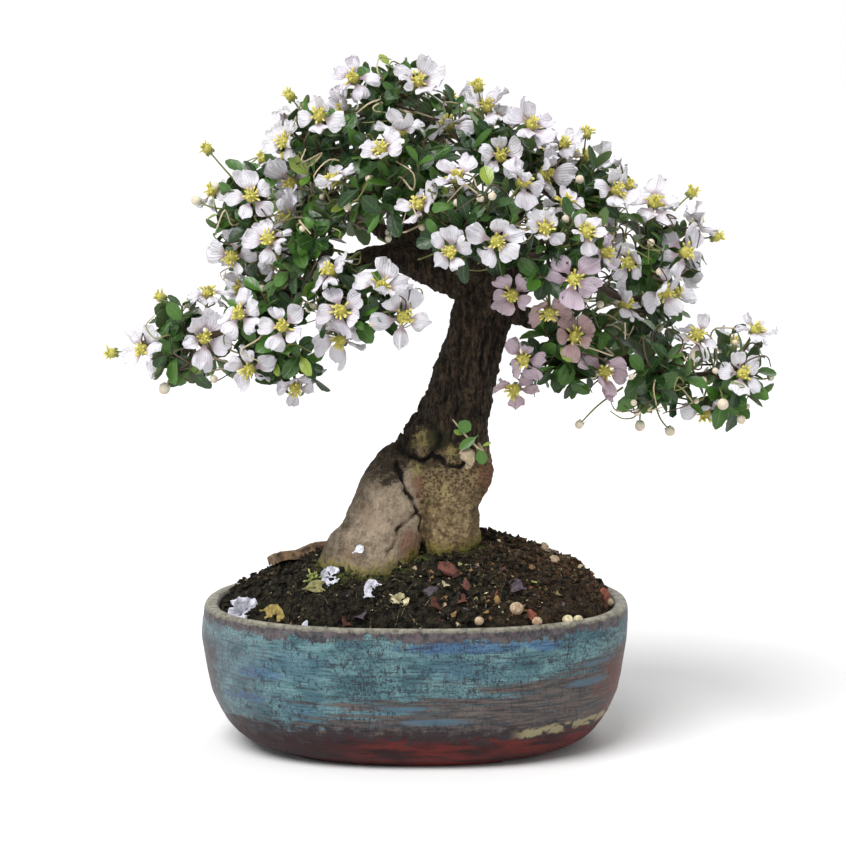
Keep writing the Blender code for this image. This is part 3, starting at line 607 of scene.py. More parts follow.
class Effects:
    """Effects that more than one finish uses, each as a node group made once."""

    def __init__(self) -> None:
        """Build every group."""
        self.mottle = self._mottle()
        self.specks = self._specks()
        self.crumble = self._crumble()
        self.veins = self._veins()

    @staticmethod
    def _open(name: str, inputs: dict[str, str], outputs: dict[str, str]) -> tuple[Any, Sheet, Any, Any]:
        """Start a group.

        Args:
            name: the group's name.
            inputs: kind of each input by name.
            outputs: kind of each output by name.

        Returns:
            The tree, a sheet to work in it, and its input and output nodes.
        """
        tree = bpy.data.node_groups.new(name, "ShaderNodeTree")
        for title, kind in inputs.items():
            tree.interface.new_socket(title, in_out="INPUT", socket_type="NodeSocket" + kind)
        for title, kind in outputs.items():
            tree.interface.new_socket(title, in_out="OUTPUT", socket_type="NodeSocket" + kind)
        return tree, Sheet(tree), tree.nodes.new("NodeGroupInput"), tree.nodes.new("NodeGroupOutput")

    def _mottle(self) -> bpy.types.NodeTree:
        """Clouds of two colours broken by finer clouds.

        Returns:
            The group's tree.
        """
        tree, sheet, given, result = self._open(
            "Mottle", {"Place": "Vector", "Scale": "Float", "Dark": "Color", "Light": "Color"},
            {"Color": "Color", "Mask": "Float"})
        coarse = sheet.node("TexNoise", {"Vector": given.outputs["Place"], "Scale": given.outputs["Scale"],
                                         "Detail": 5.0, "Roughness": 0.62}).outputs[0]
        mask = sheet.step(coarse, 0.36, 0.64)
        sheet.join(sheet.blend(mask, given.outputs["Dark"], given.outputs["Light"]), result.inputs["Color"])
        sheet.join(mask, result.inputs["Mask"])
        return tree

    def _specks(self) -> bpy.types.NodeTree:
        """Small round specks; the share is how much of the surface they cover.

        Returns:
            The group's tree.
        """
        tree, sheet, given, result = self._open(
            "Specks", {"Place": "Vector", "Scale": "Float", "Share": "Float"}, {"Mask": "Float"})
        cells = sheet.node("TexVoronoi", {"Vector": given.outputs["Place"], "Scale": given.outputs["Scale"]})
        spread = sheet.sum("MULTIPLY", given.outputs["Share"], 0.62)
        inside = sheet.sum("SUBTRACT", spread, cells.outputs["Distance"])
        sheet.join(sheet.step(inside, -0.06, 0.06), result.inputs["Mask"])
        return tree

    def _crumble(self) -> bpy.types.NodeTree:
        """The height of a crumbly, cracked surface.

        Returns:
            The group's tree.
        """
        tree, sheet, given, result = self._open(
            "Crumble", {"Place": "Vector", "Scale": "Float"}, {"Height": "Float"})
        cells = sheet.node("TexVoronoi", {"Vector": given.outputs["Place"], "Scale": given.outputs["Scale"]})
        clouds = sheet.node("TexNoise", {"Vector": given.outputs["Place"], "Scale": given.outputs["Scale"],
                                         "Detail": 6.0, "Roughness": 0.7}).outputs[0]
        height = sheet.sum("SUBTRACT", sheet.sum("MULTIPLY", clouds, 1.4), cells.outputs["Distance"])
        sheet.join(height, result.inputs["Height"])
        return tree

    def _veins(self) -> bpy.types.NodeTree:
        """The midrib and side veins of a blade, from its painted values along and across.

        Returns:
            The group's tree.
        """
        tree, sheet, given, result = self._open(
            "Veins", {"Along": "Float", "Across": "Float", "Count": "Float"},
            {"Midrib": "Float", "Side": "Float"})
        off_middle = sheet.sum("ABSOLUTE", given.outputs["Across"])
        midrib = sheet.step(off_middle, 0.1, 0.02)
        swept = sheet.sum("SUBTRACT", given.outputs["Along"], sheet.sum("MULTIPLY", off_middle, 0.28))
        turns = sheet.sum("MULTIPLY", given.outputs["Count"], 6.283)
        wave = sheet.sum("SINE", sheet.sum("MULTIPLY", swept, turns))
        side = sheet.times(sheet.step(wave, 0.55, 1.0), sheet.step(off_middle, 0.98, 0.7))
        sheet.join(midrib, result.inputs["Midrib"])
        sheet.join(side, result.inputs["Side"])
        return tree


@dataclass(frozen=True)
class Finish:
    """What every finish shares: a name, the shared effects, and how the material is opened."""

    name: str
    effects: Effects

    def material(self) -> bpy.types.Material:
        """Make the material, painted by the finish's own method.

        Returns:
            The material.
        """
        made = bpy.data.materials.new(self.name)
        made.use_nodes = True
        self.paint(Sheet(made.node_tree), made.node_tree.nodes["Principled BSDF"])
        return made

    def paint(self, sheet: Sheet, shader: bpy.types.Node) -> None:
        """Feed the shader; each finish has its own."""
        raise NotImplementedError


@dataclass(frozen=True)
class GlazeFinish(Finish):
    """Brushed glaze: grey lip, purple-brown bands, speckled teal and blue, brown streaks and a red foot."""

    teal: tuple = tint(108, 146, 150)
    deep_teal: tuple = tint(64, 100, 110)
    pale_teal: tuple = tint(136, 158, 158)
    blue: tuple = tint(72, 108, 132)
    cobalt: tuple = tint(64, 100, 142)
    low_blue: tuple = tint(80, 110, 128)
    brown: tuple = tint(104, 86, 78)
    dark_brown: tuple = tint(52, 42, 42)
    dark_foot: tuple = tint(42, 29, 32)
    edge_red: tuple = tint(104, 60, 52)
    edge_plum: tuple = tint(66, 46, 50)
    ink: tuple = tint(44, 42, 50)
    haze: tuple = tint(122, 122, 124)
    plum: tuple = tint(44, 33, 37)
    under_lip: tuple = tint(98, 82, 84)
    red: tuple = tint(100, 35, 31)
    maroon: tuple = tint(42, 21, 23)
    cream: tuple = tint(156, 146, 112)
    lip_light: tuple = tint(134, 132, 118)
    lip_dark: tuple = tint(98, 92, 82)
    lip_worn: tuple = tint(176, 172, 156)
    high_blues: tuple = (((14, 41.5), (22, 2.2)), ((-50, 31), (8, 1.8)), ((-55, 22.5), (7, 1.4)),
                         ((42, 41), (6, 1.6)))
    low_blues: tuple = (((6, 17.0), (12, 1.3)), ((-4, 21.5), (9, 0.9)),
                        ((56, 27), (8, 1.3)), ((58, 33), (6, 0.9)))
    drip_start: tuple[float, float] = (33.0, 11.8)
    drip_slope: float = 0.05

    def patch(self, sheet: Sheet, x: Any, z: Any, middle: tuple[float, float], reach: tuple[float, float],
              ragged: Any, fray: float = 4.0) -> bpy.types.NodeSocket:
        """A soft oval patch with a ragged edge.

        Args:
            sheet: where the nodes go.
            x: the place across, in millimetres.
            z: the place upwards, in millimetres.
            middle: x and z of the patch's middle.
            reach: its half width and half height.
            ragged: a mask that frays its edge.
            fray: how strongly it does.

        Returns:
            The patch's mask.
        """
        across = sheet.sum("DIVIDE", sheet.sum("SUBTRACT", x, middle[0]), reach[0])
        upward = sheet.sum("DIVIDE", sheet.sum("SUBTRACT", z, middle[1]), reach[1])
        squares = sheet.sum("ADD", sheet.times(across, across), sheet.times(upward, upward))
        return sheet.step(sheet.shift(ragged, fray, squares), 1.2, 0.4)

    def paint(self, sheet: Sheet, shader: bpy.types.Node) -> None:
        """Paint the glaze in bands by height, frayed by noise and drawn out sideways by the brush.

        Args:
            sheet: where the nodes go.
            shader: the material's shader.
        """
        place = sheet.place()
        x, _, z = sheet.parts(place)
        clouds = sheet.noise(place, 0.045, 3.0)
        ragged = sheet.noise(place, 0.3, 6.0, 0.7)
        grain = sheet.noise(place, 1.3, 6.0, 0.8)
        brush = sheet.noise(sheet.place((0.03, 0.03, 0.42)), 1.0, 5.0, 0.65)
        hairs = sheet.noise(sheet.place((0.12, 0.12, 1.3), (31.0, 7.0, 3.0)), 1.0, 6.0, 0.75)
        runs = sheet.noise(sheet.place((1.0, 1.0, 0.35), (5.0, 60.0, 9.0)), 1.0, 5.0, 0.7)
        colour = self.upper_coat(sheet, x, z, clouds, ragged, grain, hairs, runs)
        slope = sheet.sum("SUBTRACT", sheet.sum("MULTIPLY", sheet.sum("ADD", x, 14.0), 0.21),
                          sheet.sum("SUBTRACT", z, 20.0))
        brown_area = sheet.times(sheet.step(sheet.shift(brush, 46.0, slope), -2.0, 3.0),
                                 sheet.step(z, 41.0, 34.0))
        brown = sheet.group(self.effects.mottle, Place=sheet.place((0.25, 0.25, 3.0)), Scale=0.5,
                            Dark=self.dark_brown, Light=self.brown).outputs["Color"]
        brown = sheet.blend(sheet.times(sheet.step(hairs, 0.45, 0.37), 0.6), brown, self.deep_teal)
        brown = sheet.blend(sheet.times(sheet.step(grain, 0.53, 0.62), 0.45), brown, self.haze)
        spots = sheet.times(sheet.step(runs, 0.53, 0.6), sheet.step(grain, 0.4, 0.5), 0.6)
        brown = sheet.blend(spots, brown, self.ink)
        colour = sheet.blend(sheet.times(brown_area, 0.9), colour, brown)
        for middle, reach in self.low_blues:
            patch = self.patch(sheet, x, z, middle, reach, grain)
            colour = sheet.blend(sheet.times(patch, 0.7), colour, self.low_blue)
        low = sheet.shift(ragged, 16.0, sheet.shift(hairs, 8.0, z))
        colour = sheet.blend(sheet.times(sheet.step(low, 15.5, 12.5), 0.92), colour, self.plum)
        foot = sheet.group(self.effects.mottle, Place=sheet.place((0.3, 0.3, 2.2)), Scale=0.22,
                           Dark=self.maroon, Light=self.red).outputs["Color"]
        foot = sheet.blend(sheet.times(sheet.step(x, -6.0, -38.0), 0.85), foot, self.dark_foot)
        colour = sheet.blend(sheet.step(low, 11.5, 9.0), colour, foot)
        edge = sheet.step(sheet.shift(ragged, 30.0, sheet.shift(hairs, 12.0, x)), 57.0, 66.0)
        colour = sheet.blend(sheet.times(edge, sheet.step(z, 41.0, 26.0), 0.85), colour, self.edge_red)
        rim_side = sheet.step(sheet.shift(ragged, 14.0, x), -62.0, -67.5)
        colour = sheet.blend(sheet.times(rim_side, sheet.step(z, 44.0, 34.0), 0.8), colour, self.edge_plum)
        colour = sheet.blend(sheet.times(self.drips(sheet, x, z, ragged, grain), 0.9), colour, self.cream)
        high = sheet.shift(ragged, 9.0, sheet.shift(clouds, 8.0, sheet.shift(runs, 5.0, z)))
        band = sheet.group(self.effects.mottle, Place=place, Scale=0.35, Dark=self.plum,
                           Light=self.under_lip).outputs["Color"]
        band = sheet.blend(sheet.times(sheet.step(grain, 0.52, 0.62), 0.5), band, self.haze)
        colour = sheet.blend(sheet.times(sheet.step(high, 43.2, 44.2), 0.9), colour, band)
        lip = sheet.group(self.effects.mottle, Place=place, Scale=0.7, Dark=self.lip_dark,
                          Light=self.lip_light).outputs["Color"]
        lip = sheet.blend(sheet.times(sheet.step(z, 46.6, 47.4), sheet.step(ragged, 0.42, 0.6), 0.6), lip,
                          self.lip_worn)
        colour = sheet.blend(sheet.step(sheet.shift(ragged, 3.0, z), 46.0, 46.6), colour, lip)
        sheet.join(colour, shader.inputs["Base Color"])
        shader.inputs["Specular IOR Level"].default_value = 0.22
        bare = sheet.step(low, 12.0, 8.0)
        rough = sheet.shift(grain, 0.3, sheet.sum("ADD", sheet.sum("MULTIPLY", bare, 0.15), 0.42))
        sheet.join(rough, shader.inputs["Roughness"])
        relief = sheet.sum("ADD", sheet.sum("MULTIPLY", hairs, 0.8), sheet.sum("MULTIPLY", grain, 0.7))
        sheet.bump(shader, relief, 0.55)

    def drips(self, sheet: Sheet, x: Any, z: Any, ragged: Any, grain: Any) -> bpy.types.NodeSocket:
        """The row of cream drips low on the right.

        Args:
            sheet: where the nodes go.
            x: the place across, in millimetres.
            z: the place upwards, in millimetres.
            ragged: noise that bends the row.
            grain: fine noise that frays it.

        Returns:
            The mask of the drips.
        """
        start_x, start_z = self.drip_start
        rise = sheet.sum("MULTIPLY", sheet.sum("SUBTRACT", x, start_x), self.drip_slope)
        gap = sheet.sum("SUBTRACT", sheet.sum("SUBTRACT", z, start_z), rise)
        gap = sheet.sum("ABSOLUTE", sheet.shift(ragged, 5.0, gap))
        row = sheet.step(sheet.shift(grain, 2.4, gap), 1.9, 1.0)
        blobs = sheet.group(self.effects.specks, Place=sheet.place((0.7, 0.7, 1.2), (3.0, 0.0, 1.0)),
                            Scale=0.3, Share=sheet.shift(grain, 0.6, 1.02)).outputs["Mask"]
        ends = sheet.times(sheet.step(x, start_x - 4.0, start_x + 3.0), sheet.step(x, 66.0, 62.0))
        return sheet.times(row, blobs, ends)

    def upper_coat(self, sheet: Sheet, x: Any, z: Any, clouds: Any, ragged: Any, grain: Any, hairs: Any,
                   runs: Any) -> bpy.types.NodeSocket:
        """The teal and blue coat with its dark strokes, dabs and pores.

        Args:
            sheet: where the nodes go.
            x: the place across, in millimetres.
            z: the place upwards, in millimetres.
            clouds: very soft noise.
            ragged: noise that frays edges.
            grain: fine noise.
            hairs: noise drawn out sideways.
            runs: noise drawn out upwards.

        Returns:
            The coat's colour.
        """
        colour = sheet.group(self.effects.mottle, Place=sheet.place((0.5, 0.5, 1.0)), Scale=0.2,
                             Dark=self.deep_teal, Light=self.teal).outputs["Color"]
        blue_clouds = sheet.noise(sheet.place((0.6, 0.6, 2), (90.0, 0.0, 0.0)), 0.05, 5.0)
        colour = sheet.blend(sheet.times(sheet.step(blue_clouds, 0.5, 0.66), 0.35), colour, self.blue)
        for middle, reach in self.high_blues:
            patch = self.patch(sheet, x, z, middle, reach, ragged, 5.0)
            colour = sheet.blend(sheet.times(patch, 0.75), colour, self.cobalt)
        pale = sheet.times(sheet.step(hairs, 0.54, 0.66), sheet.step(clouds, 0.4, 0.6), 0.4)
        colour = sheet.blend(pale, colour, self.pale_teal)
        strokes = sheet.times(sheet.step(hairs, 0.49, 0.4), sheet.step(grain, 0.36, 0.52), 0.8)
        colour = sheet.blend(strokes, colour, self.ink)
        dabs = sheet.times(sheet.step(runs, 0.54, 0.59), sheet.step(ragged, 0.42, 0.54), 0.8)
        colour = sheet.blend(dabs, colour, self.ink)
        pores = sheet.times(sheet.step(grain, 0.5, 0.56), sheet.step(clouds, 0.68, 0.46), 0.8)
        colour = sheet.blend(pores, colour, self.ink)
        worn = sheet.times(sheet.step(sheet.shift(ragged, 60.0, x), -40.0, -62.0),
                           sheet.step(grain, 0.44, 0.56), 0.5)
        return sheet.blend(worn, colour, self.haze)


@dataclass(frozen=True)
class BarkFinish(Finish):
    """Bark: dark brown and ridged above, grey-beige, stained and pitted below, mossy at the soil, with
    painted shade in its hollows, on the left lobe's edge and at its foot.
    """

    upper_dark: tuple = tint(26, 21, 16)
    upper_light: tuple = tint(92, 75, 58)
    lichen: tuple = tint(98, 84, 62)
    fleck: tuple = tint(132, 116, 94)
    left_light: tuple = tint(168, 152, 132)
    left_dark: tuple = tint(112, 98, 78)
    left_warm: tuple = tint(138, 118, 100)
    right_light: tuple = tint(170, 148, 110)
    right_dark: tuple = tint(82, 66, 44)
    # Near black of the painted shade in cracks and hollows.
    crack: tuple = tint(20, 16, 12)
    # Dark brown of the stained bark, also used for painted shade.
    stain_and_shade: tuple = tint(44, 36, 26)
    moss: tuple = tint(130, 120, 46)
    # Dark moss green, also the painted shade where the trunk meets the soil.
    deep_moss_and_shade: tuple = tint(36, 48, 16)
    russet: tuple = tint(112, 70, 52)
    crust: tuple = tint(150, 138, 88)
    wood: tuple = tint(206, 188, 158)

    def paint(self, sheet: Sheet, shader: bpy.types.Node) -> None:
        """Blend the kinds of bark by height and side; darken its hollows, left edge and foot with painted
        shade, and darken its stained patches, which are partly painted shade.

        Args:
            sheet: where the nodes go.
            shader: the material's shader.
        """
        place = sheet.place()
        x, _, z = sheet.parts(place)
        clouds = sheet.noise(place, 0.09, 4.0)
        fibre = sheet.noise(sheet.place((1.0, 1.0, 0.25)), 0.8, 6.0, 0.75)
        grain = sheet.noise(place, 1.1, 7.0, 0.85)
        patches = sheet.noise(place, 0.26, 6.0, 0.75)
        upper = sheet.blend(sheet.step(fibre, 0.42, 0.68), self.upper_dark, self.upper_light)
        upper = sheet.blend(sheet.times(sheet.step(patches, 0.53, 0.64), 0.45), upper, self.lichen)
        upper = sheet.blend(sheet.times(sheet.step(grain, 0.6, 0.7), 0.5), upper, self.fleck)
        left = sheet.blend(sheet.step(sheet.shift(grain, 0.8, patches), 0.3, 0.66), self.left_dark,
                           self.left_light)
        left = sheet.blend(sheet.times(sheet.step(clouds, 0.5, 0.62), 0.5), left, self.left_warm)
        # Painted shade along the left edge of the left lobe.
        leftmost = sheet.sum("ADD", x, sheet.sum("MULTIPLY", z, -0.62))
        shaded = sheet.step(sheet.shift(patches, 16.0, leftmost), -62, -73)
        left = sheet.blend(sheet.times(shaded, 0.7), left, self.stain_and_shade)
        right = sheet.blend(sheet.step(sheet.shift(grain, 1.0, patches), 0.32, 0.66), self.right_dark,
                            self.right_light)
        # Dark specks on the right block: partly its dark crumbs, partly painted shade in its pits.
        crumbs = sheet.group(self.effects.specks, Place=sheet.place((1, 1, 1.2)), Scale=0.9, Share=0.75)
        pitted = sheet.times(crumbs.outputs["Mask"], sheet.step(sheet.shift(patches, 60.0, z), 72.0, 92.0),
                             0.8)
        right = sheet.blend(pitted, right, self.stain_and_shade)
        lower = sheet.blend(sheet.step(sheet.shift(patches, 5.0, x), -0.5, 2.5), left, right)
        leftward = sheet.sum("MULTIPLY", sheet.step(x, 2.0, -5.0), 8.5)
        height = sheet.sum("ADD", z, leftward)
        line = sheet.shift(clouds, 14.0, sheet.shift(patches, 26.0, sheet.shift(grain, 8.0, height)))
        colour = sheet.blend(sheet.step(line, 97.5, 100.5), lower, upper)
        wander = sheet.shift(patches, 3.4, sheet.shift(grain, 2.4, 0.0))
        # Patches painted on the trunk: russet, crust, dark brown ones that are partly painted shade, and
        # moss.
        for name, tone, strength in (("russet", self.russet, 0.7), ("crust", self.crust, 0.8),
                                     ("stain_and_shade", self.stain_and_shade, 0.85), ("deep_moss_and_shade", self.deep_moss_and_shade, 0.8)):
            spot = sheet.painted(name)
            near = sheet.times(sheet.step(sheet.sum("ADD", spot, wander), 0.35, 0.85),
                               sheet.step(spot, 0.02, 0.3))
            colour = sheet.blend(sheet.times(near, strength), colour, tone)
        # Moss low on the trunk, with a dark band at the soil line that is painted shade.
        near_soil = sheet.shift(grain, 14.0, sheet.shift(patches, 22.0, sheet.painted("near_soil")))
        colour = sheet.blend(sheet.times(sheet.step(near_soil, -3.5, 1.0), 0.7), colour, self.moss)
        colour = sheet.blend(sheet.times(sheet.step(near_soil, 0.0, 3.0), 0.85), colour, self.deep_moss_and_shade)
        # Painted shade: the deeper a hollow or crack, the nearer to black.
        colour = sheet.blend(sheet.step(sheet.painted("hollow"), 0.25, 0.9), colour, self.crack)
        cut = sheet.shift(grain, 0.8, sheet.painted("cut"))
        colour = sheet.blend(sheet.times(sheet.step(cut, 0.35, 0.7), 0.9), colour, self.wood)
        sheet.join(colour, shader.inputs["Base Color"])
        sheet.join(sheet.shift(grain, 0.2, 0.85), shader.inputs["Roughness"])
        shader.inputs["Specular IOR Level"].default_value = 0.25
        crumble = sheet.group(self.effects.crumble, Place=sheet.place((1, 1, 0.6)),
                              Scale=0.9).outputs["Height"]
        sheet.bump(shader, sheet.sum("ADD", crumble, sheet.times(fibre, 1.6)), 0.6)


@dataclass(frozen=True)
class TwigFinish(Finish):
    """Thin twigs and stalks: brown where old, yellow-green where young."""

    old: tuple = tint(74, 56, 42)
    young: tuple = tint(126, 130, 74)
    dry: tuple = tint(186, 170, 138)

    def paint(self, sheet: Sheet, shader: bpy.types.Node) -> None:
        """Turn from brown to green and then to dry cream with the painted tone.

        Args:
            sheet: where the nodes go.
            shader: the material's shader.
        """
        place = sheet.place()
        tone = sheet.shift(sheet.noise(place, 0.6), 0.4, sheet.painted("tone"))
        colour = sheet.blend(sheet.step(tone, 0.3, 0.75), self.old, self.young)
        colour = sheet.blend(sheet.step(tone, 0.9, 1.1), colour, self.dry)
        sheet.join(colour, shader.inputs["Base Color"])
        shader.inputs["Roughness"].default_value = 0.6
        height = sheet.group(self.effects.crumble, Place=place, Scale=1.6).outputs["Height"]
        sheet.bump(shader, height, 0.12)


@dataclass(frozen=True)
class LeafFinish(Finish):
    """Glossy dark leaves with a pale midrib, a few of them bright green, matt and pale below."""

    dark: tuple = tint(26, 54, 24)
    mid: tuple = tint(70, 112, 36)
    bright: tuple = tint(140, 160, 62)
    vein: tuple = tint(112, 140, 78)
    below: tuple = tint(96, 116, 70)

    def paint(self, sheet: Sheet, shader: bpy.types.Node) -> None:
        """Mix the greens by the leaf's own tone and draw its veins.

        Args:
            sheet: where the nodes go.
            shader: the material's shader.
        """
        place = sheet.place()
        tone = sheet.painted("tone")
        blotch = sheet.noise(place, 0.35, 3.0)
        mixed = sheet.shift(blotch, 0.35, tone)
        colour = sheet.blend(sheet.step(mixed, 0.02, 0.66), self.dark, self.mid)
        colour = sheet.blend(sheet.step(mixed, 0.78, 1.0), colour, self.bright)
        veins = sheet.group(self.effects.veins, Along=sheet.painted("along"), Across=sheet.painted("across"),
                            Count=5.0)
        colour = sheet.blend(sheet.times(veins.outputs["Side"], 0.08), colour, self.vein)
        colour = sheet.blend(sheet.times(veins.outputs["Midrib"], 0.45), colour, self.vein)
        under = sheet.painted("under")
        colour = sheet.blend(sheet.times(sheet.step(under, 0.4, 0.6), 0.75), colour, self.below)
        sheet.join(colour, shader.inputs["Base Color"])
        gloss = sheet.sum("ADD", sheet.shift(blotch, 0.12, 0.3), sheet.sum("MULTIPLY", under, 0.3))
        sheet.join(gloss, shader.inputs["Roughness"])
        height = sheet.sum("SUBTRACT", sheet.noise(place, 1.5, 3.0), sheet.sum(
            "ADD", veins.outputs["Midrib"], sheet.sum("MULTIPLY", veins.outputs["Side"], 0.6)))
        sheet.bump(shader, height, 0.12, 0.8)


@dataclass(frozen=True)
class PetalFinish(Finish):
    """Thin crinkled petals, white to pale lilac, greenish at the claw, with painted shade that turns low
    blooms greyish pink.
    """

    white: tuple = tint(222, 219, 226)
    lilac: tuple = tint(206, 190, 212)
    petal_shade: tuple = tint(168, 138, 136)
    claw: tuple = tint(150, 118, 128)

    def paint(self, sheet: Sheet, shader: bpy.types.Node) -> None:
        """Fade from the claw to the limb, with faint veins, each bloom's own lilac tint and its painted
        shade.

        Args:
            sheet: where the nodes go.
            shader: the material's shader.
        """
        place = sheet.place()
        along, across = sheet.painted("along"), sheet.painted("across")
        blush_and_shade = sheet.painted("tone")
        clouds = sheet.noise(place, 0.25, 3.0)
        # Lilac from each bloom's own tint, deepened by its painted shade.
        colour = sheet.blend(sheet.step(sheet.shift(clouds, 0.5, blush_and_shade), 0.15, 0.75), self.white, self.lilac)
        # Painted shade: blooms low under the crown turn greyish pink.
        colour = sheet.blend(sheet.step(blush_and_shade, 0.45, 0.9), colour, self.petal_shade)
        fan = sheet.sum("SINE", sheet.sum("MULTIPLY", across, 26.0))
        colour = sheet.blend(sheet.times(sheet.step(fan, 0.4, 1.0), 0.16), colour, self.lilac)
        colour = sheet.blend(sheet.times(sheet.step(along, 0.5, 0.3), 0.7), colour, self.claw)
        sheet.join(colour, shader.inputs["Base Color"])
        shader.inputs["Roughness"].default_value = 0.62
        shader.inputs["Subsurface Weight"].default_value = 0.3
        shader.inputs["Subsurface Radius"].default_value = (1.0, 0.9, 0.9)
        shader.inputs["Subsurface Scale"].default_value = 1.2 * MM
        height = sheet.sum("ADD", sheet.noise(place, 0.9, 4.0), sheet.sum("MULTIPLY", fan, 0.2))
        sheet.bump(shader, height, 0.3)


@dataclass(frozen=True)
class StamenFinish(Finish):
    """Yellow-green filaments and anthers."""

    root: tuple = tint(164, 158, 66)
    tip: tuple = tint(222, 212, 112)

    def paint(self, sheet: Sheet, shader: bpy.types.Node) -> None:
        """Fade from the green root to the yellow tip.

        Args:
            sheet: where the nodes go.
            shader: the material's shader.
        """
        share = sheet.shift(sheet.noise(sheet.place(), 1.2), 0.3, sheet.painted("along"))
        sheet.join(sheet.blend(sheet.step(share, 0.1, 0.9), self.root, self.tip), shader.inputs["Base Color"])
        shader.inputs["Roughness"].default_value = 0.6


@dataclass(frozen=True)
class BudFinish(Finish):
    """Round buds, cream with a pink cheek, and green sepals."""

    cream: tuple = tint(222, 217, 194)
    pink: tuple = tint(212, 196, 174)
    green: tuple = tint(120, 126, 66)

    def paint(self, sheet: Sheet, shader: bpy.types.Node) -> None:
        """Blend cream to pink upwards, and to green by the painted tone.

        Args:
            sheet: where the nodes go.
            shader: the material's shader.
        """
        clouds = sheet.noise(sheet.place(), 0.5, 3.0)
        colour = sheet.blend(sheet.step(sheet.shift(clouds, 0.6, sheet.painted("along")), 0.3, 0.9),
                             self.cream, self.pink)
        colour = sheet.blend(sheet.step(sheet.painted("tone"), 0.4, 0.6), colour, self.green)
        sheet.join(colour, shader.inputs["Base Color"])
        shader.inputs["Roughness"].default_value = 0.5
        sheet.bump(shader, clouds, 0.2)


@dataclass(frozen=True)
class SoilFinish(Finish):
    """Damp dark potting soil with lighter crumbs and fibres."""

    dark: tuple = tint(11, 10, 8)
    mid: tuple = tint(48, 44, 34)
    light: tuple = tint(98, 86, 66)
    brown: tuple = tint(112, 80, 56)
    pale: tuple = tint(166, 158, 136)

    def paint(self, sheet: Sheet, shader: bpy.types.Node) -> None:
        """Mottle the soil and lighten some crumbs by their painted tone.

        Args:
            sheet: where the nodes go.
            shader: the material's shader.
        """
        place = sheet.place()
        colour = sheet.group(self.effects.mottle, Place=place, Scale=0.5, Dark=self.dark,
                             Light=self.mid).outputs["Color"]
        tone = sheet.shift(sheet.noise(place, 0.8, 5.0, 0.7), 2.2, sheet.painted("tone"))
        x, y, _ = sheet.parts(place)
        patches = sheet.noise(place, 0.12, 4.0, 0.7)
        threads = sheet.noise(sheet.place(offset=(7.0, 3.0, 1.0)), 0.5, 6.0, 0.8)
        ridge = sheet.sum("ADD", sheet.sum("MULTIPLY", sheet.step(y, -24.0, -8.0), 0.55), 0.3)
        rooty = sheet.times(sheet.step(sheet.shift(patches, 90.0, x), 16.0, 36.0),
                            sheet.step(threads, 0.46, 0.6), ridge)
        colour = sheet.blend(rooty, colour, self.brown)
        colour = sheet.blend(sheet.times(sheet.step(tone, 0.45, 0.9), 0.9), colour, self.light)
        colour = sheet.blend(sheet.step(tone, 1.0, 1.3), colour, self.pale)
        sheet.join(colour, shader.inputs["Base Color"])
        shader.inputs["Roughness"].default_value = 0.92
        shader.inputs["Specular IOR Level"].default_value = 0.15
        height = sheet.group(self.effects.crumble, Place=place, Scale=1.3).outputs["Height"]
        sheet.bump(shader, height, 0.5)


@dataclass(frozen=True)
class ScrapFinish(Finish):
    """Litter of one colour with blotches, a roughness and a grain of its own."""

    light: tuple = (0.5, 0.5, 0.5, 1.0)
    dark: tuple = (0.2, 0.2, 0.2, 1.0)
    roughness: float = 0.75
    scale: float = 0.8

    def paint(self, sheet: Sheet, shader: bpy.types.Node) -> None:
        """Mottle between the two colours.

        Args:
            sheet: where the nodes go.
            shader: the material's shader.
        """
        place = sheet.place()
        colour = sheet.group(self.effects.mottle, Place=place, Scale=self.scale, Dark=self.dark,
                             Light=self.light).outputs["Color"]
        sheet.join(colour, shader.inputs["Base Color"])
        shader.inputs["Roughness"].default_value = self.roughness
        height = sheet.group(self.effects.crumble, Place=place, Scale=1.8 * self.scale).outputs["Height"]
        sheet.bump(shader, height, 0.2)


# Pot, screens and soil


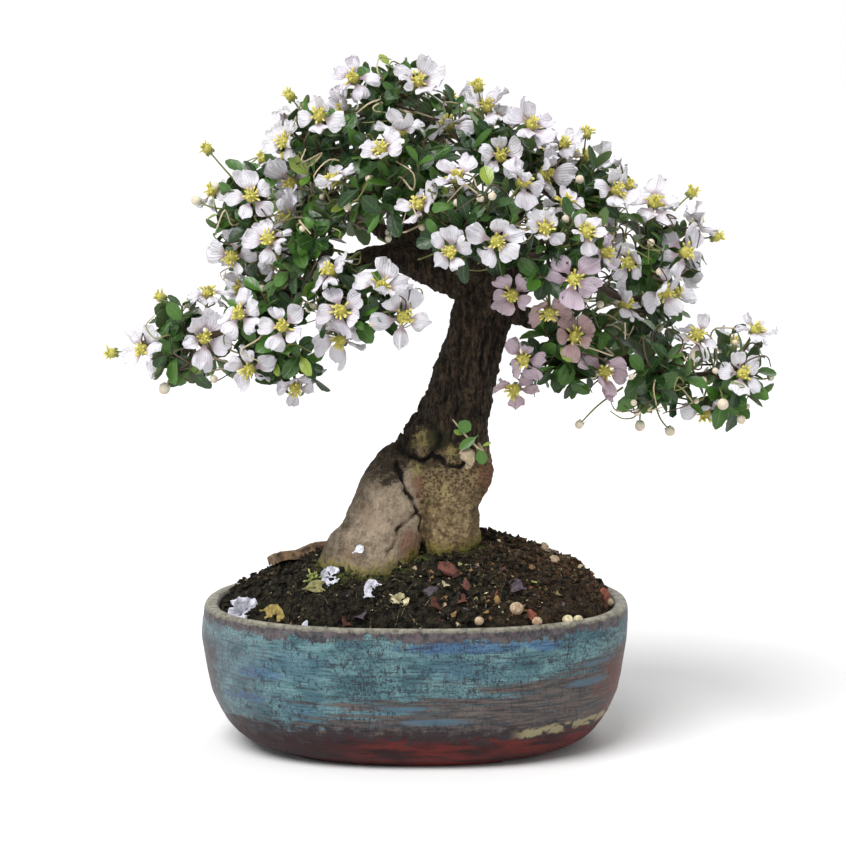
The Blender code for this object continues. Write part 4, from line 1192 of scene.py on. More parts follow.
@dataclass
class Pot:
    """The hand-made oval pot: an uneven shell with a rounded lip, drain holes and vent grooves."""

    half_width: float = 70.3
    half_depth: float = 47.0
    plan_power: float = 2.4
    sides: int = 224
    outside: tuple = ((0.0, 47.0), (1.2, 50.5), (4.0, 57.5), (9.0, 62.3), (15.0, 65.7),
                      (22.0, 68.0), (35.0, 70.0), (44.4, 70.3), (46.6, 70.0), (47.5, 68.9))
    inside: tuple = ((47.5, 66.9), (46.8, 65.9), (44.0, 65.2), (30.0, 64.8), (14.0, 61.0), (7.2, 53.0),
                     (6.0, 48.0))
    drain_x: float = 33.0
    drain_radius: float = 4.5
    groove_width: float = 10.0
    groove_depth: float = 1.4
    unevenness: float = 0.35
    left_swell: float = 1.0

    def depth_at(self, half_width: float) -> float:
        """The half depth where the pot has this half width."""
        return self.half_depth - 0.5 * (self.half_width - half_width)

    def ring(self, height: float, half_width: float, count: int, inset: float = 0.0) -> np.ndarray:
        """One ring of the pot's oval plan, or of what lies that far inside it.

        Args:
            height: its height, in millimetres.
            half_width: the oval's half width.
            count: how many.
            inset: how far inside the oval.

        Returns:
            The ring's points.
        """
        turn = 2 * np.pi * np.arange(count) / count
        east, north = np.cos(turn), np.sin(turn)
        power = 2 / self.plan_power
        return np.stack([(half_width - inset) * np.sign(east) * np.abs(east) ** power,
                         (self.depth_at(half_width) - inset) * np.sign(north) * np.abs(north) ** power,
                         np.full(count, height)], axis=1)

    def build(self, finish: bpy.types.Material) -> bpy.types.Object:
        """Make the shell, cut its holes and grooves, and put it in the scene.

        Args:
            finish: the material.

        Returns:
            The piece.
        """
        wall = smooth_path(self.outside, 6)
        wall[:, 0] = np.clip(wall[:, 0], 0.0, 47.5)
        lining = smooth_path(self.inside, 5)
        rings = []
        for number, (height, width) in enumerate(np.vstack([wall, lining])):
            ring = self.ring(height, width, self.sides)
            if number < len(wall) and height > 2.0:
                ring = self.roughened(ring, height)
            rings.append(ring)
        rings[-1][:, 2] = self.inside[-1][0]
        pile = Pile()
        pile.add(skin_form(rings))
        piece = pile.make("glazed_pot", Slot.GLAZE, [finish], ["pot"])
        self.cut(piece)
        return piece

    def roughened(self, ring: np.ndarray, height: float) -> np.ndarray:
        """Give a ring the low swellings that hands and brush leave.

        Args:
            ring: the ring's points.
            height: its height, in millimetres.

        Returns:
            The new ring.
        """
        fade = min(1.0, (height - 2.0) / 6.0)
        rows = []
        for x, y, z in ring:
            swell = noise.noise(Vector((x, y, z * 1.6)) / 26) * self.unevenness
            swell += noise.noise(Vector((x * 0.5, y * 0.5, z * 4)) / 9) * self.unevenness * 0.45
            swell += self.left_swell * smooth_step(-x, 20, 60) * smooth_step(-z, -46, -36)
            share = 1 + swell * fade / math.hypot(x, y)
            lift = noise.noise(Vector((x, y, 40)) / 22) * 0.35 * smooth_step(z, 38, 47)
            rows.append((x * share, y * share, z + lift))
        return np.array(rows)

    def cut(self, piece: bpy.types.Object) -> None:
        """Cut the drain holes and vent grooves out of the shell.

        Args:
            piece: the piece.
        """
        tools = []
        for side in (-1, 1):
            ring = self.circle(side * self.drain_x, self.drain_radius)
            tools.append(skin_form([ring + np.array((0, 0, -5.0)), ring + np.array((0, 0, 15.0))]))
        depth = 2 * self.half_depth
        tools.append(self.slot_form(self.drain_x, -depth, depth))
        tools.append(self.slot_form(-self.drain_x, 0.0, depth))
        for number, form in enumerate(tools):
            mesh = bpy.data.meshes.new("cutter")
            mesh.from_pydata((form.points * MM).tolist(), [], form.faces)
            cutter = bpy.data.objects.new("cutter_%d" % number, mesh)
            bpy.context.scene.collection.objects.link(cutter)
            step = piece.modifiers.new("cut", "BOOLEAN")
            step.operation = "DIFFERENCE"
            step.solver = "EXACT"
            step.object = cutter
            apply_modifiers(piece)
            bpy.data.objects.remove(cutter)
        piece.data.shade_smooth()
        piece.data.set_sharp_from_angle(angle=math.radians(50))

    @staticmethod
    def circle(x: float, radius: float) -> np.ndarray:
        """A round ring at zero height."""
        turn = 2 * np.pi * np.arange(48) / 48
        return np.stack([x + radius * np.cos(turn), radius * np.sin(turn), np.zeros(48)], axis=1)

    def slot_form(self, x: float, near: float, far: float) -> Form:
        """A long block that cuts one vent groove.

        Args:
            x: the place across, in millimetres.
            near: where it starts in depth.
            far: where it ends in depth.

        Returns:
            The block.
        """
        half = self.groove_width / 2
        plan = np.array(((x - half, near), (x + half, near), (x + half, far), (x - half, far)))
        rings = [np.column_stack([plan, np.full(4, level)]) for level in (-5.0, self.groove_depth)]
        return skin_form(rings)


def apply_modifiers(piece: bpy.types.Object) -> None:
    """Keep a piece's shape as its modifiers leave it, and drop them.

    Args:
        piece: the piece.
    """
    bpy.context.view_layer.update()
    shown = piece.evaluated_get(bpy.context.evaluated_depsgraph_get())
    mesh = bpy.data.meshes.new_from_object(shown)
    piece.modifiers.clear()
    old = piece.data
    piece.data = mesh
    bpy.data.meshes.remove(old)


@dataclass
class Soil:
    """The mound of moist soil, its crumbs and fibres."""

    pot: Pot
    edge: float = 45.3
    rise: float = 24.0
    peak_x: float = 12.0
    half_width: float = 64.8
    heap_x: float = 57.0
    heap_rise: float = 2.3
    heap_width: float = 9.0
    heap_depth: float = 24.0
    relief: float = 0.9
    rings: int = 96
    sides: int = 300
    crumbs: int = 7000
    fibres: int = 320

    def height(self, x: float, y: float) -> float:
        """Height of the smooth mound, as in the part.

        Args:
            x: the place across, in millimetres.
            y: the place in depth, in millimetres.

        Returns:
            The height, in millimetres.
        """
        reach = self.half_width - self.peak_x if x > self.peak_x else self.half_width + self.peak_x
        across = abs(x - self.peak_x) / reach
        along = abs(y) / self.pot.depth_at(self.half_width)
        power = self.pot.plan_power
        share = min(1.0, (across ** power + along ** power) ** (1 / power))
        waves = noise.noise(Vector((x, y, 0)) / 7) * self.relief
        return self.edge + self.rise * (1 - share ** 2) ** 0.8 + waves * (1 - share ** 6)

    def rough_height(self, x: float, y: float) -> float:
        """Height with lumps and crumbs.

        Args:
            x: the place across, in millimetres.
            y: the place in depth, in millimetres.

        Returns:
            The height, in millimetres.
        """
        spot = Vector((x, y, 0))
        lumps = noise.fractal(spot / 5.0, 0.7, 2.1, 4) * 1.35
        near = noise.voronoi(spot / 2.1)[0][0]
        heap = self.heap_rise * math.exp(-((x - self.heap_x) / self.heap_width) ** 2
                                         - (y / self.heap_depth) ** 2)
        return self.height(x, y) + lumps + 1.1 * (0.45 - near) + heap

    def slope_normal(self, x: float, y: float) -> Vector:
        """Upward normal of the smooth mound.

        Args:
            x: the place across, in millimetres.
            y: the place in depth, in millimetres.

        Returns:
            The normal.
        """
        gap = 1.0
        east = self.height(x + gap, y) - self.height(x - gap, y)
        north = self.height(x, y + gap) - self.height(x, y - gap)
        return Vector((-east, -north, 2 * gap)).normalized()

    def seat(self, x: float, y: float, lift: float = 0.0) -> Vector:
        """A point on the rough soil, raised a little."""
        return Vector((x, y, self.rough_height(x, y) + lift))

    def build(self, finish: bpy.types.Material) -> None:
        """Make the mound, then its crumbs and fibres.

        Args:
            finish: the material.
        """
        plan = self.pot.ring(0.0, 65.2, self.sides, 0.35)
        rings = [np.column_stack([plan[:, :2] * 0.985, np.full(self.sides, 40.0)]),
                 np.column_stack([plan[:, :2], np.full(self.sides, 42.0)])]
        for number in range(self.rings):
            share = 1 - (number / self.rings) ** 1.05
            ring = plan[:, :2] * share + np.array((self.peak_x * (1 - share), 0.0))
            heights = [self.rough_height(x, y) if number else self.edge for x, y in ring]
            rings.append(np.column_stack([ring, heights]))
        pile = Pile("tone")
        pile.add(skin_form(rings), tone=0.25)
        pile.make("soil_mound", Slot.SOIL, [finish], ["soil"], 180)
        self.scatter(finish)

    def inside(self, x: float, y: float, limit: float) -> bool:
        """Whether a place lies within a share of the soil's plan.

        Args:
            x: the place across, in millimetres.
            y: the place in depth, in millimetres.
            limit: the share of the plan.

        Returns:
            True where it does.
        """
        power = self.pot.plan_power
        across, along = abs(x) / self.half_width, abs(y) / self.pot.depth_at(self.half_width)
        return across ** power + along ** power < limit ** power

    def scatter(self, finish: bpy.types.Material) -> None:
        """Strew crumbs of soil and short root fibres over the mound.

        Args:
            finish: the material.
        """
        rng = random.Random(CRUMB_SEED)
        crumb = ball_form(1.0, 0)
        small = Pile("tone")
        count = 0
        while count < self.crumbs:
            x, y = rng.uniform(-64, 64), rng.uniform(-44, 44)
            if not self.inside(x, y, 0.985):
                continue
            size = 0.28 + 1.3 * rng.random() ** 3.4
            bearing = rng.uniform(0, FULL_TURN)
            turn = Matrix.Rotation(bearing, 4, Vector((rng.gauss(0, 1), rng.gauss(0, 1), 1)))
            spread = Matrix.Diagonal((size * rng.uniform(0.7, 1.5), size, size * rng.uniform(0.5, 1.0), 1))
            form = crumb.placed(Matrix.Translation(self.seat(x, y, size * 0.35)) @ turn @ spread)
            brown = 0.4 * smooth_step(x, 0, 45) * smooth_step(y, -26, -6)
            pale = 0.6 if size < 0.5 and rng.random() < 0.2 else 0.0
            small.add(form, tone=0.8 * rng.random() ** 2.2 + brown * rng.random() + pale)
            count += 1
        small.make("soil_crumbs", Slot.SOIL, [finish], [], 20)
        threads = Pile("tone")
        for _ in range(self.fibres):
            x, y = 12 + rng.gauss(0, 26), rng.uniform(-40, 40)
            if not self.inside(x, y, 0.9):
                continue
            bearing = rng.uniform(0, FULL_TURN)
            points = []
            for step in range(5):
                x += math.cos(bearing) * 1.6
                y += math.sin(bearing) * 1.6
                bearing += rng.uniform(-0.7, 0.7)
                points.append(self.seat(x, y, 0.45 + 0.4 * math.sin(step * 1.6)))
            threads.add(tube_form(points, [0.1, 0.13, 0.13, 0.1, 0.05], 4), tone=rng.uniform(0.5, 1.05))
        threads.make("soil_fibres", Slot.SOIL, [finish], [])


# Trunk and limbs


@dataclass(frozen=True)
class Mark:
    """A groove or ridge on the front of the trunk: its path in x and z, half width and depth."""

    path: tuple[tuple[float, float], ...]
    width: float
    depth: float

    def push(self, x: float, z: float) -> float:
        """How deep the surface goes at this place; below zero where it rises.

        Args:
            x: the place across, in millimetres.
            z: the place upwards, in millimetres.

        Returns:
            The depth, in millimetres.
        """
        nearest = min(self.distance(x, z, low, high) for low, high in zip(self.path, self.path[1:]))
        if nearest >= self.width:
            return 0.0
        return self.depth * (1 - (nearest / self.width) ** 2) ** 2

    @staticmethod
    def distance(x: float, z: float, low: tuple[float, float], high: tuple[float, float]) -> float:
        """Distance from a place to one stretch of the path.

        Args:
            x: the place across, in millimetres.
            z: the place upwards, in millimetres.
            low: one end of the stretch.
            high: its other end.

        Returns:
            The distance, in millimetres.
        """
        run = (high[0] - low[0], high[1] - low[1])
        length = run[0] ** 2 + run[1] ** 2
        share = ((x - low[0]) * run[0] + (z - low[1]) * run[1]) / length
        share = min(1.0, max(0.0, share))
        return math.hypot(x - low[0] - run[0] * share, z - low[1] - run[1] * share)


@dataclass(frozen=True)
class Stain:
    """A soft oval on the front of the trunk, used for colour patches, painted shade and bumps: x, z, half
    width, half height and strength.
    """

    x: float
    z: float
    wide: float
    high: float
    strength: float = 1.0

    def cover(self, x: float, z: float) -> float:
        """How strongly the stain covers a place."""
        gap = ((x - self.x) / self.wide) ** 2 + ((z - self.z) / self.high) ** 2
        return self.strength * math.exp(-gap)


@dataclass
class Trunk:
    """The bole with its root lobes, knot, cut stub and limbs, as one body of bark."""

    soil: Soil
    voxel: float = 0.62
    flute: float = 0.055
    marks: tuple[Mark, ...] = (
        Mark(((-6.5, 96), (-4.2, 90.5), (-2.6, 86.5), (-0.3, 82.3), (1.4, 78.5), (1.2, 74), (2.2, 70),
              (1.6, 60)), 1.15, 1.7),
        Mark(((-0.4, 80.5), (-2.8, 77.5), (-5.6, 75.2), (-6.6, 71.5), (-9, 67)), 1.0, 1.1),
        Mark(((-7, 103), (-4, 98.5), (-1, 98.4), (2.5, 96.8), (5.5, 97.6), (9.5, 95.8), (15, 95)), 1.9, 1.6),
        Mark(((-4, 94.5), (0.5, 94), (3.5, 91.8)), 1.1, 0.7),
        Mark(((-5, 91), (-6.5, 97), (-3.6, 103)), 1.8, 1.1),
        Mark(((15, 138), (13, 128), (9.5, 118), (8, 108)), 1.5, 1.0),
        Mark(((24, 142), (21.5, 130), (19.4, 116), (18.5, 104)), 1.5, 1.2),
        Mark(((19.5, 148), (17.5, 134), (14.5, 122), (13, 110), (11, 102)), 1.1, 1.0),
        Mark(((12, 133), (10.2, 122), (5.5, 112)), 1.0, 0.7),
        Mark(((26.5, 146), (25, 134), (22.5, 121), (22, 110)), 1.0, 0.8),
        Mark(((-20, 83), (-16, 78.5), (-16.5, 73)), 0.8, 0.4),
        Mark(((7, 88), (9, 82), (7.5, 76)), 0.8, 0.3),
        Mark(((14, 90), (17, 84), (16, 77)), 0.9, 0.4),
        Mark(((-21.5, 66), (-18, 62), (-14, 60)), 0.8, 0.6),
    )
    bumps: tuple[Stain, ...] = (Stain(-5, 103, 5.0, 4.5, -1.6), Stain(24.5, 91, 4.0, 5.0, 1.6),
                                Stain(5.2, 126.5, 3.5, 3.0, 1.0), Stain(15.5, 100, 3.5, 2.6, 0.9),
                                Stain(-2.5, 70, 4.0, 5.5, 0.7), Stain(24.8, 80, 4.0, 7.5, -3.6),
                                Stain(10, 84, 5.5, 5.5, 0.5), Stain(-29, 74, 7.0, 9.0, -2.2),
                                Stain(-19, 82, 7.0, 6.0, -2.8), Stain(-25, 77, 5.0, 4.0, -2.4),
                                Stain(-0.5, 112, 5.0, 6.0, -2.8),
                                Stain(-9, 80, 6.0, 7.0, 0.7), Stain(12, 98.5, 3.2, 2.4, 0.9))
    # Painted patches on the front of the lower trunk, by kind; the dark brown ones are partly stained bark
    # and partly painted shade.
    stains_and_shade: dict[str, tuple[Stain, ...]] = field(default_factory=lambda: {
        "stain_and_shade": (Stain(-6, 95, 3.4, 6.0), Stain(-9, 93, 5.0, 5.0, 0.9), Stain(-5.5, 103, 4.0, 5.0),
                  Stain(6.5, 104, 4.6, 6.5),
                  Stain(14.5, 107, 4.0, 6.0, 0.8), Stain(20, 78, 2.6, 8.0, 0.5),
                  Stain(4, 95.5, 8.0, 2.6, 0.9),
                  Stain(2, 83, 4.0, 9.0, 0.35), Stain(10, 92, 9.0, 3.0, 0.5)),
        "russet": (Stain(-2.5, 70, 4.4, 7.0), Stain(-22, 67, 6.0, 4.0, 0.6), Stain(22.5, 90, 3.6, 8.0, 0.9),
                   Stain(13, 69, 5.0, 4.0, 0.3), Stain(0.5, 88.5, 2.6, 6.0, 0.8),
                   Stain(17, 88, 5.0, 4.0, 0.4)),
        "crust": (Stain(2.2, 103, 3.4, 3.4, 1.5), Stain(0.5, 94.5, 3.4, 2.6, 1.1),
                  Stain(12, 98.8, 3.4, 2.4, 1.1),
                  Stain(-8, 61, 8.0, 4.0, 0.6), Stain(8, 88, 7.0, 6.0, 0.35)),
        "deep_moss_and_shade": (Stain(7.8, 103.5, 2.8, 6.0, 0.8), Stain(8, 66, 9.0, 3.6, 0.8),
                      Stain(17, 66, 6.0, 2.4, 0.6)),
    })
    knot_middle: tuple[float, float] = (2.0, 103.0)
    knot_radius: float = 3.9
    cut_middle: Vector = Vector((17.0, -17.6, 97.0))

    def stem(self, stations: Any, sides: int, fluted: bool) -> Form:
        """A body lofted through stations of x, y, z and radius, with or without flutes.

        Args:
            stations: rows of x, y, z and radius.
            sides: the sides of each ring.
            fluted: whether it has flutes.

        Returns:
            The body.
        """
        path = smooth_path(stations, 5)
        rings = []
        for index, row in enumerate(path):
            before, after = path[max(index - 1, 0)], path[min(index + 1, len(path) - 1)]
            axis = Vector(after[:3] - before[:3]).normalized()
            side = axis.cross(Vector((0, 1, 0))).normalized()
            front = side.cross(axis).normalized()
            ring = []
            for corner in range(sides):
                turn = 2 * math.pi * corner / sides
                swell = math.sin(3 * turn + row[2] * 0.03) + 0.7 * math.sin(5 * turn - row[2] * 0.055)
                radius = row[3] * (1 + (self.flute * swell if fluted else 0.0))
                ring.append(Vector(row[:3]) + (side * math.cos(turn) + front * math.sin(turn)) * radius)
            rings.append(np.array(ring, float))
        return skin_form(rings)

    def build(self, finish: bpy.types.Material) -> bpy.types.Object:
        """Join every stem into one skin, carve the bark and paint how deep its hollows lie, for the painted
        shade in them.

        Args:
            finish: the material.

        Returns:
            The piece.
        """
        pile = Pile()
        for stations in (TRUNK, LEFT_LOBE, RIGHT_LOBE):
            pile.add(self.stem(stations, 40, True))
        for stations in (KNOT, CUT_STUB):
            points = [Vector(row[:3]) for row in smooth_path(stations, 4)]
            pile.add(tube_form(points, [row[3] for row in smooth_path(stations, 4)], 16))
        for stations in LIMBS:
            rows = smooth_path(stations, 5)
            pile.add(tube_form([Vector(row[:3]) for row in rows], [row[3] for row in rows], 16))
        piece = pile.make("trunk_and_limbs", Slot.BARK, [finish], ["trunk"])
        step = piece.modifiers.new("skin", "REMESH")
        step.mode = "VOXEL"
        step.voxel_size = self.voxel * MM
        soften = piece.modifiers.new("soften", "SMOOTH")
        soften.iterations = 4
        soften.factor = 0.5
        apply_modifiers(piece)
        self.carve(piece)
        piece.data.materials.clear()
        piece.data.materials.append(finish)
        piece.data.shade_smooth()
        return piece

    def carve(self, piece: bpy.types.Object) -> None:
        """Move the skin in and out for fibres, lumps, pits and marks.

        Args:
            piece: the piece.
        """
        mesh = piece.data
        count = len(mesh.vertices)
        places = np.zeros(count * 3)
        normals = np.zeros(count * 3)
        mesh.vertices.foreach_get("co", places)
        mesh.vertices.foreach_get("normal", normals)
        places, normals = places.reshape(-1, 3) / MM, normals.reshape(-1, 3)
        painted = {name: np.zeros(count) for name in ("hollow", "near_soil", "cut", *self.stains_and_shade)}
        moved = places.copy()
        for index in range(count):
            spot, normal = Vector(places[index]), Vector(normals[index])
            push, painted["hollow"][index] = self.relief(spot, normal)
            # Closeness to the soil, for the moss and the painted shade at the trunk's foot.
            if spot.z < 90:
                painted["near_soil"][index] = 2.0 - (spot.z - self.soil.height(spot.x, spot.y))
            else:
                painted["near_soil"][index] = -9.0
            off_cut = spot - self.cut_middle
            at_cut = math.hypot(off_cut.x, 0.6 * off_cut.z) < 2.2 and off_cut.y < 2
            painted["cut"][index] = 1.0 if at_cut else 0.0
            if spot.z < 115 and (normal.y < 0.35 or spot.y < -2):
                for name, ovals in self.stains_and_shade.items():
                    painted[name][index] = max(oval.cover(spot.x, spot.z) for oval in ovals)
            moved[index] += np.array(normal) * push
        mesh.vertices.foreach_set("co", (moved * MM).ravel())
        for title, rows in painted.items():
            layer = mesh.attributes.new(title, "FLOAT", "POINT")
            layer.data.foreach_set("value", rows.astype(np.float32))
        mesh.update()

    def relief(self, spot: Vector, normal: Vector) -> tuple[float, float]:
        """How far one point moves out, and how deep in a hollow it lies.

        Args:
            spot: the point.
            normal: the skin's normal there.

        Returns:
            The push outwards, and 0 to 1 for the hollow, which the bark darkens as painted shade.
        """
        x, y, z = spot
        upper = smooth_step(z + 6 * noise.noise(spot / 9), 96, 106)
        limb = smooth_step(z, 148, 158)
        stretch = 7.0 - 4.5 * limb
        fibre = noise.fractal(Vector((x / 1.9, y / 1.9, z / stretch)), 0.7, 2.2, 3)
        lumps = noise.fractal(spot / 7.5, 0.9, 2.0, 4)
        near = noise.voronoi(spot / 2.6)[0][0]
        small = 1.0 - 0.55 * limb
        push = small * (fibre * (0.16 + 0.62 * upper) + lumps * (0.5 + 0.45 * upper))
        push += small * (near - 0.45) * (0.22 + 0.5 * upper)
        depth = -fibre * (0.15 + 0.6 * upper) + (0.3 - near) * (0.2 + 0.4 * upper)
        block = smooth_step(x, 0.5, 4) * (1 - upper)
        crust = noise.fractal(spot / 1.6, 0.8, 2.0, 3)
        push += block * (crust * 0.4 + lumps * 0.5) + (1 - upper) * crust * 0.12
        depth += block * max(0.0, -crust - 0.35) * 0.8
        if (normal.y < 0.35 or y < -2) and z < 150:
            warp_x = x + 1.3 * noise.noise(spot / 3.2) + 0.5 * noise.noise(spot / 1.1)
            warp_z = z + 1.3 * noise.noise(spot / 3.2 + Vector((9, 4, 2)))
            for mark in self.marks:
                dent = mark.push(warp_x, warp_z) * (0.75 + 0.6 * noise.noise(spot / 4.0))
                push -= dent
                depth += dent * 0.8
            push += sum(bump.cover(x, z) for bump in self.bumps)
            ring = math.hypot(warp_x - self.knot_middle[0], warp_z - self.knot_middle[1])
            if ring < self.knot_radius + 3 and y < -6:
                bead = math.exp(-((ring - self.knot_radius) / 1.1) ** 2)
                pit = math.exp(-(ring / 1.6) ** 2)
                crack = math.exp(-((ring - self.knot_radius - 1.9) / 0.7) ** 2)
                push += 0.7 * bead - 1.2 * pit - 0.7 * crack + 0.7 * noise.fractal(spot / 1.3, 0.8, 2.0, 3)
                depth += 0.8 * pit + 0.7 * crack - 0.4 * bead
        return push, min(1.0, max(0.0, depth))


# Leaves, twigs and blooms


class Growth:
    """Ready-made leaves, petals, stamens and buds that the crown places many times."""

    leaf_rows = np.array((-0.14, 0.04, 0.3, 0.62, 0.9, 1.0))
    leaf_profile = np.array((0.07, 0.14, 0.8, 1.0, 0.6, 0.12))
    petal_rows = np.array((0.0, 0.2, 0.34, 0.45, 0.58, 0.72, 0.86, 0.96, 1.0))
    petal_profile = np.array((0.04, 0.05, 0.11, 0.27, 0.38, 0.42, 0.39, 0.3, 0.18))

    def __init__(self, seed: int) -> None:
        """Make every variant from one seed.

        Args:
            seed: the seed.
        """
        rng = random.Random(seed)
        self.leaves = [self.leaf(rng, waved=number % 5 == 0) for number in range(26)]
        self.petals = [self.petal(rng) for _ in range(18)]
        self.stamen = self.stamen_form()
        self.bud = ball_form(1.0, 2)
        self.gland = ball_form(1.0, 1)
        self.seed = ball_form(1.0, 0)

    def leaf(self, rng: random.Random, waved: bool) -> Form:
        """A leaf one unit long: obovate, folded along its midrib and curved; some have a waved edge.

        Args:
            rng: the source of its variety.
            waved: whether its edge is waved.

        Returns:
            The leaf.
        """
        columns = np.linspace(-1, 1, 5)
        width = rng.uniform(0.56, 0.74) if rng.random() < 0.75 else rng.uniform(0.34, 0.5)
        fold, droop = rng.uniform(0.08, 0.34), rng.uniform(-0.06, 0.32)
        sweep, phase = rng.uniform(-0.08, 0.08), rng.uniform(0, FULL_TURN)
        grid = np.zeros((len(self.leaf_rows), 5, 3))
        for row, (along, share) in enumerate(zip(self.leaf_rows, self.leaf_profile)):
            half = share * width / 2
            teeth = 1 + (0.16 * math.sin(along * 19 + phase) if waved else 0.03 * math.sin(along * 9 + phase))
            for column, across in enumerate(columns):
                reach = half * across * (teeth if abs(across) > 0.9 else 1.0)
                ripple = (0.05 if waved else 0.018) * math.sin(along * 13 + phase + across) * abs(across)
                lift = fold * abs(reach) - droop * max(along, 0.0) ** 2 + ripple * share
                grid[row, column] = (reach + sweep * along ** 2, along, lift)
        return sheet_form(grid, 0.022)

    def petal(self, rng: random.Random) -> Form:
        """A petal one unit long: a narrow claw and a broad, crinkled limb with a fringed edge.

        Args:
            rng: the source of its variety.

        Returns:
            The petal.
        """
        columns = np.linspace(-1, 1, 7)
        cup, phase, twist = rng.uniform(-0.3, 0.45), rng.uniform(0, FULL_TURN), rng.uniform(-0.22, 0.22)
        broad = rng.uniform(0.8, 1.12)
        fringe = [rng.uniform(-0.06, 0.06) for _ in columns]
        grid = np.zeros((len(self.petal_rows), 7, 3))
        for row, (along, half) in enumerate(zip(self.petal_rows, self.petal_profile)):
            limb = smooth_step(along, 0.3, 0.75)
            for column, across in enumerate(columns):
                side = half * broad * across
                ripple = 0.06 * math.sin(across * 6 + phase)
                ripple += 0.05 * math.sin(along * 12 + across * 3 + phase)
                edge = limb * fringe[column] * smooth_step(along, 0.75, 1.0)
                round_off = -0.09 * across ** 2 * smooth_step(along, 0.8, 1.0)
                lift = cup * along ** 2 + 0.2 * across ** 2 * limb * math.cos(phase) + limb * ripple
                grid[row, column] = (side * (1 + edge) + twist * along * along, along + edge + round_off,
                                     lift + twist * across * limb)
        return sheet_form(grid, 0.022)

    @staticmethod
    def stamen_form() -> Form:
        """A stamen one unit long: a bent filament with a swollen anther.

        Returns:
            The stamen.
        """
        points = [Vector(p) for p in ((0, 0, 0), (0, 0.45, 0.5), (0, 0.7, 0.66), (0, 0.87, 0.74),
                                      (0, 1.0, 0.78))]
        return tube_form(points, [0.09, 0.06, 0.11, 0.13, 0.05], 4)


@dataclass
class Shoot:
    """A leafy shoot: the points of its stem and the direction that its leaves face."""

    points: list[Vector]
    facing: Vector
    youth: float


@dataclass
class Bloom:
    """One bloom: its middle, the way it faces, its size, its tint with painted shade, and where its stalk
    begins.
    """

    middle: Vector
    facing: Vector
    radius: float
    blush_and_shade: float
    root: Vector


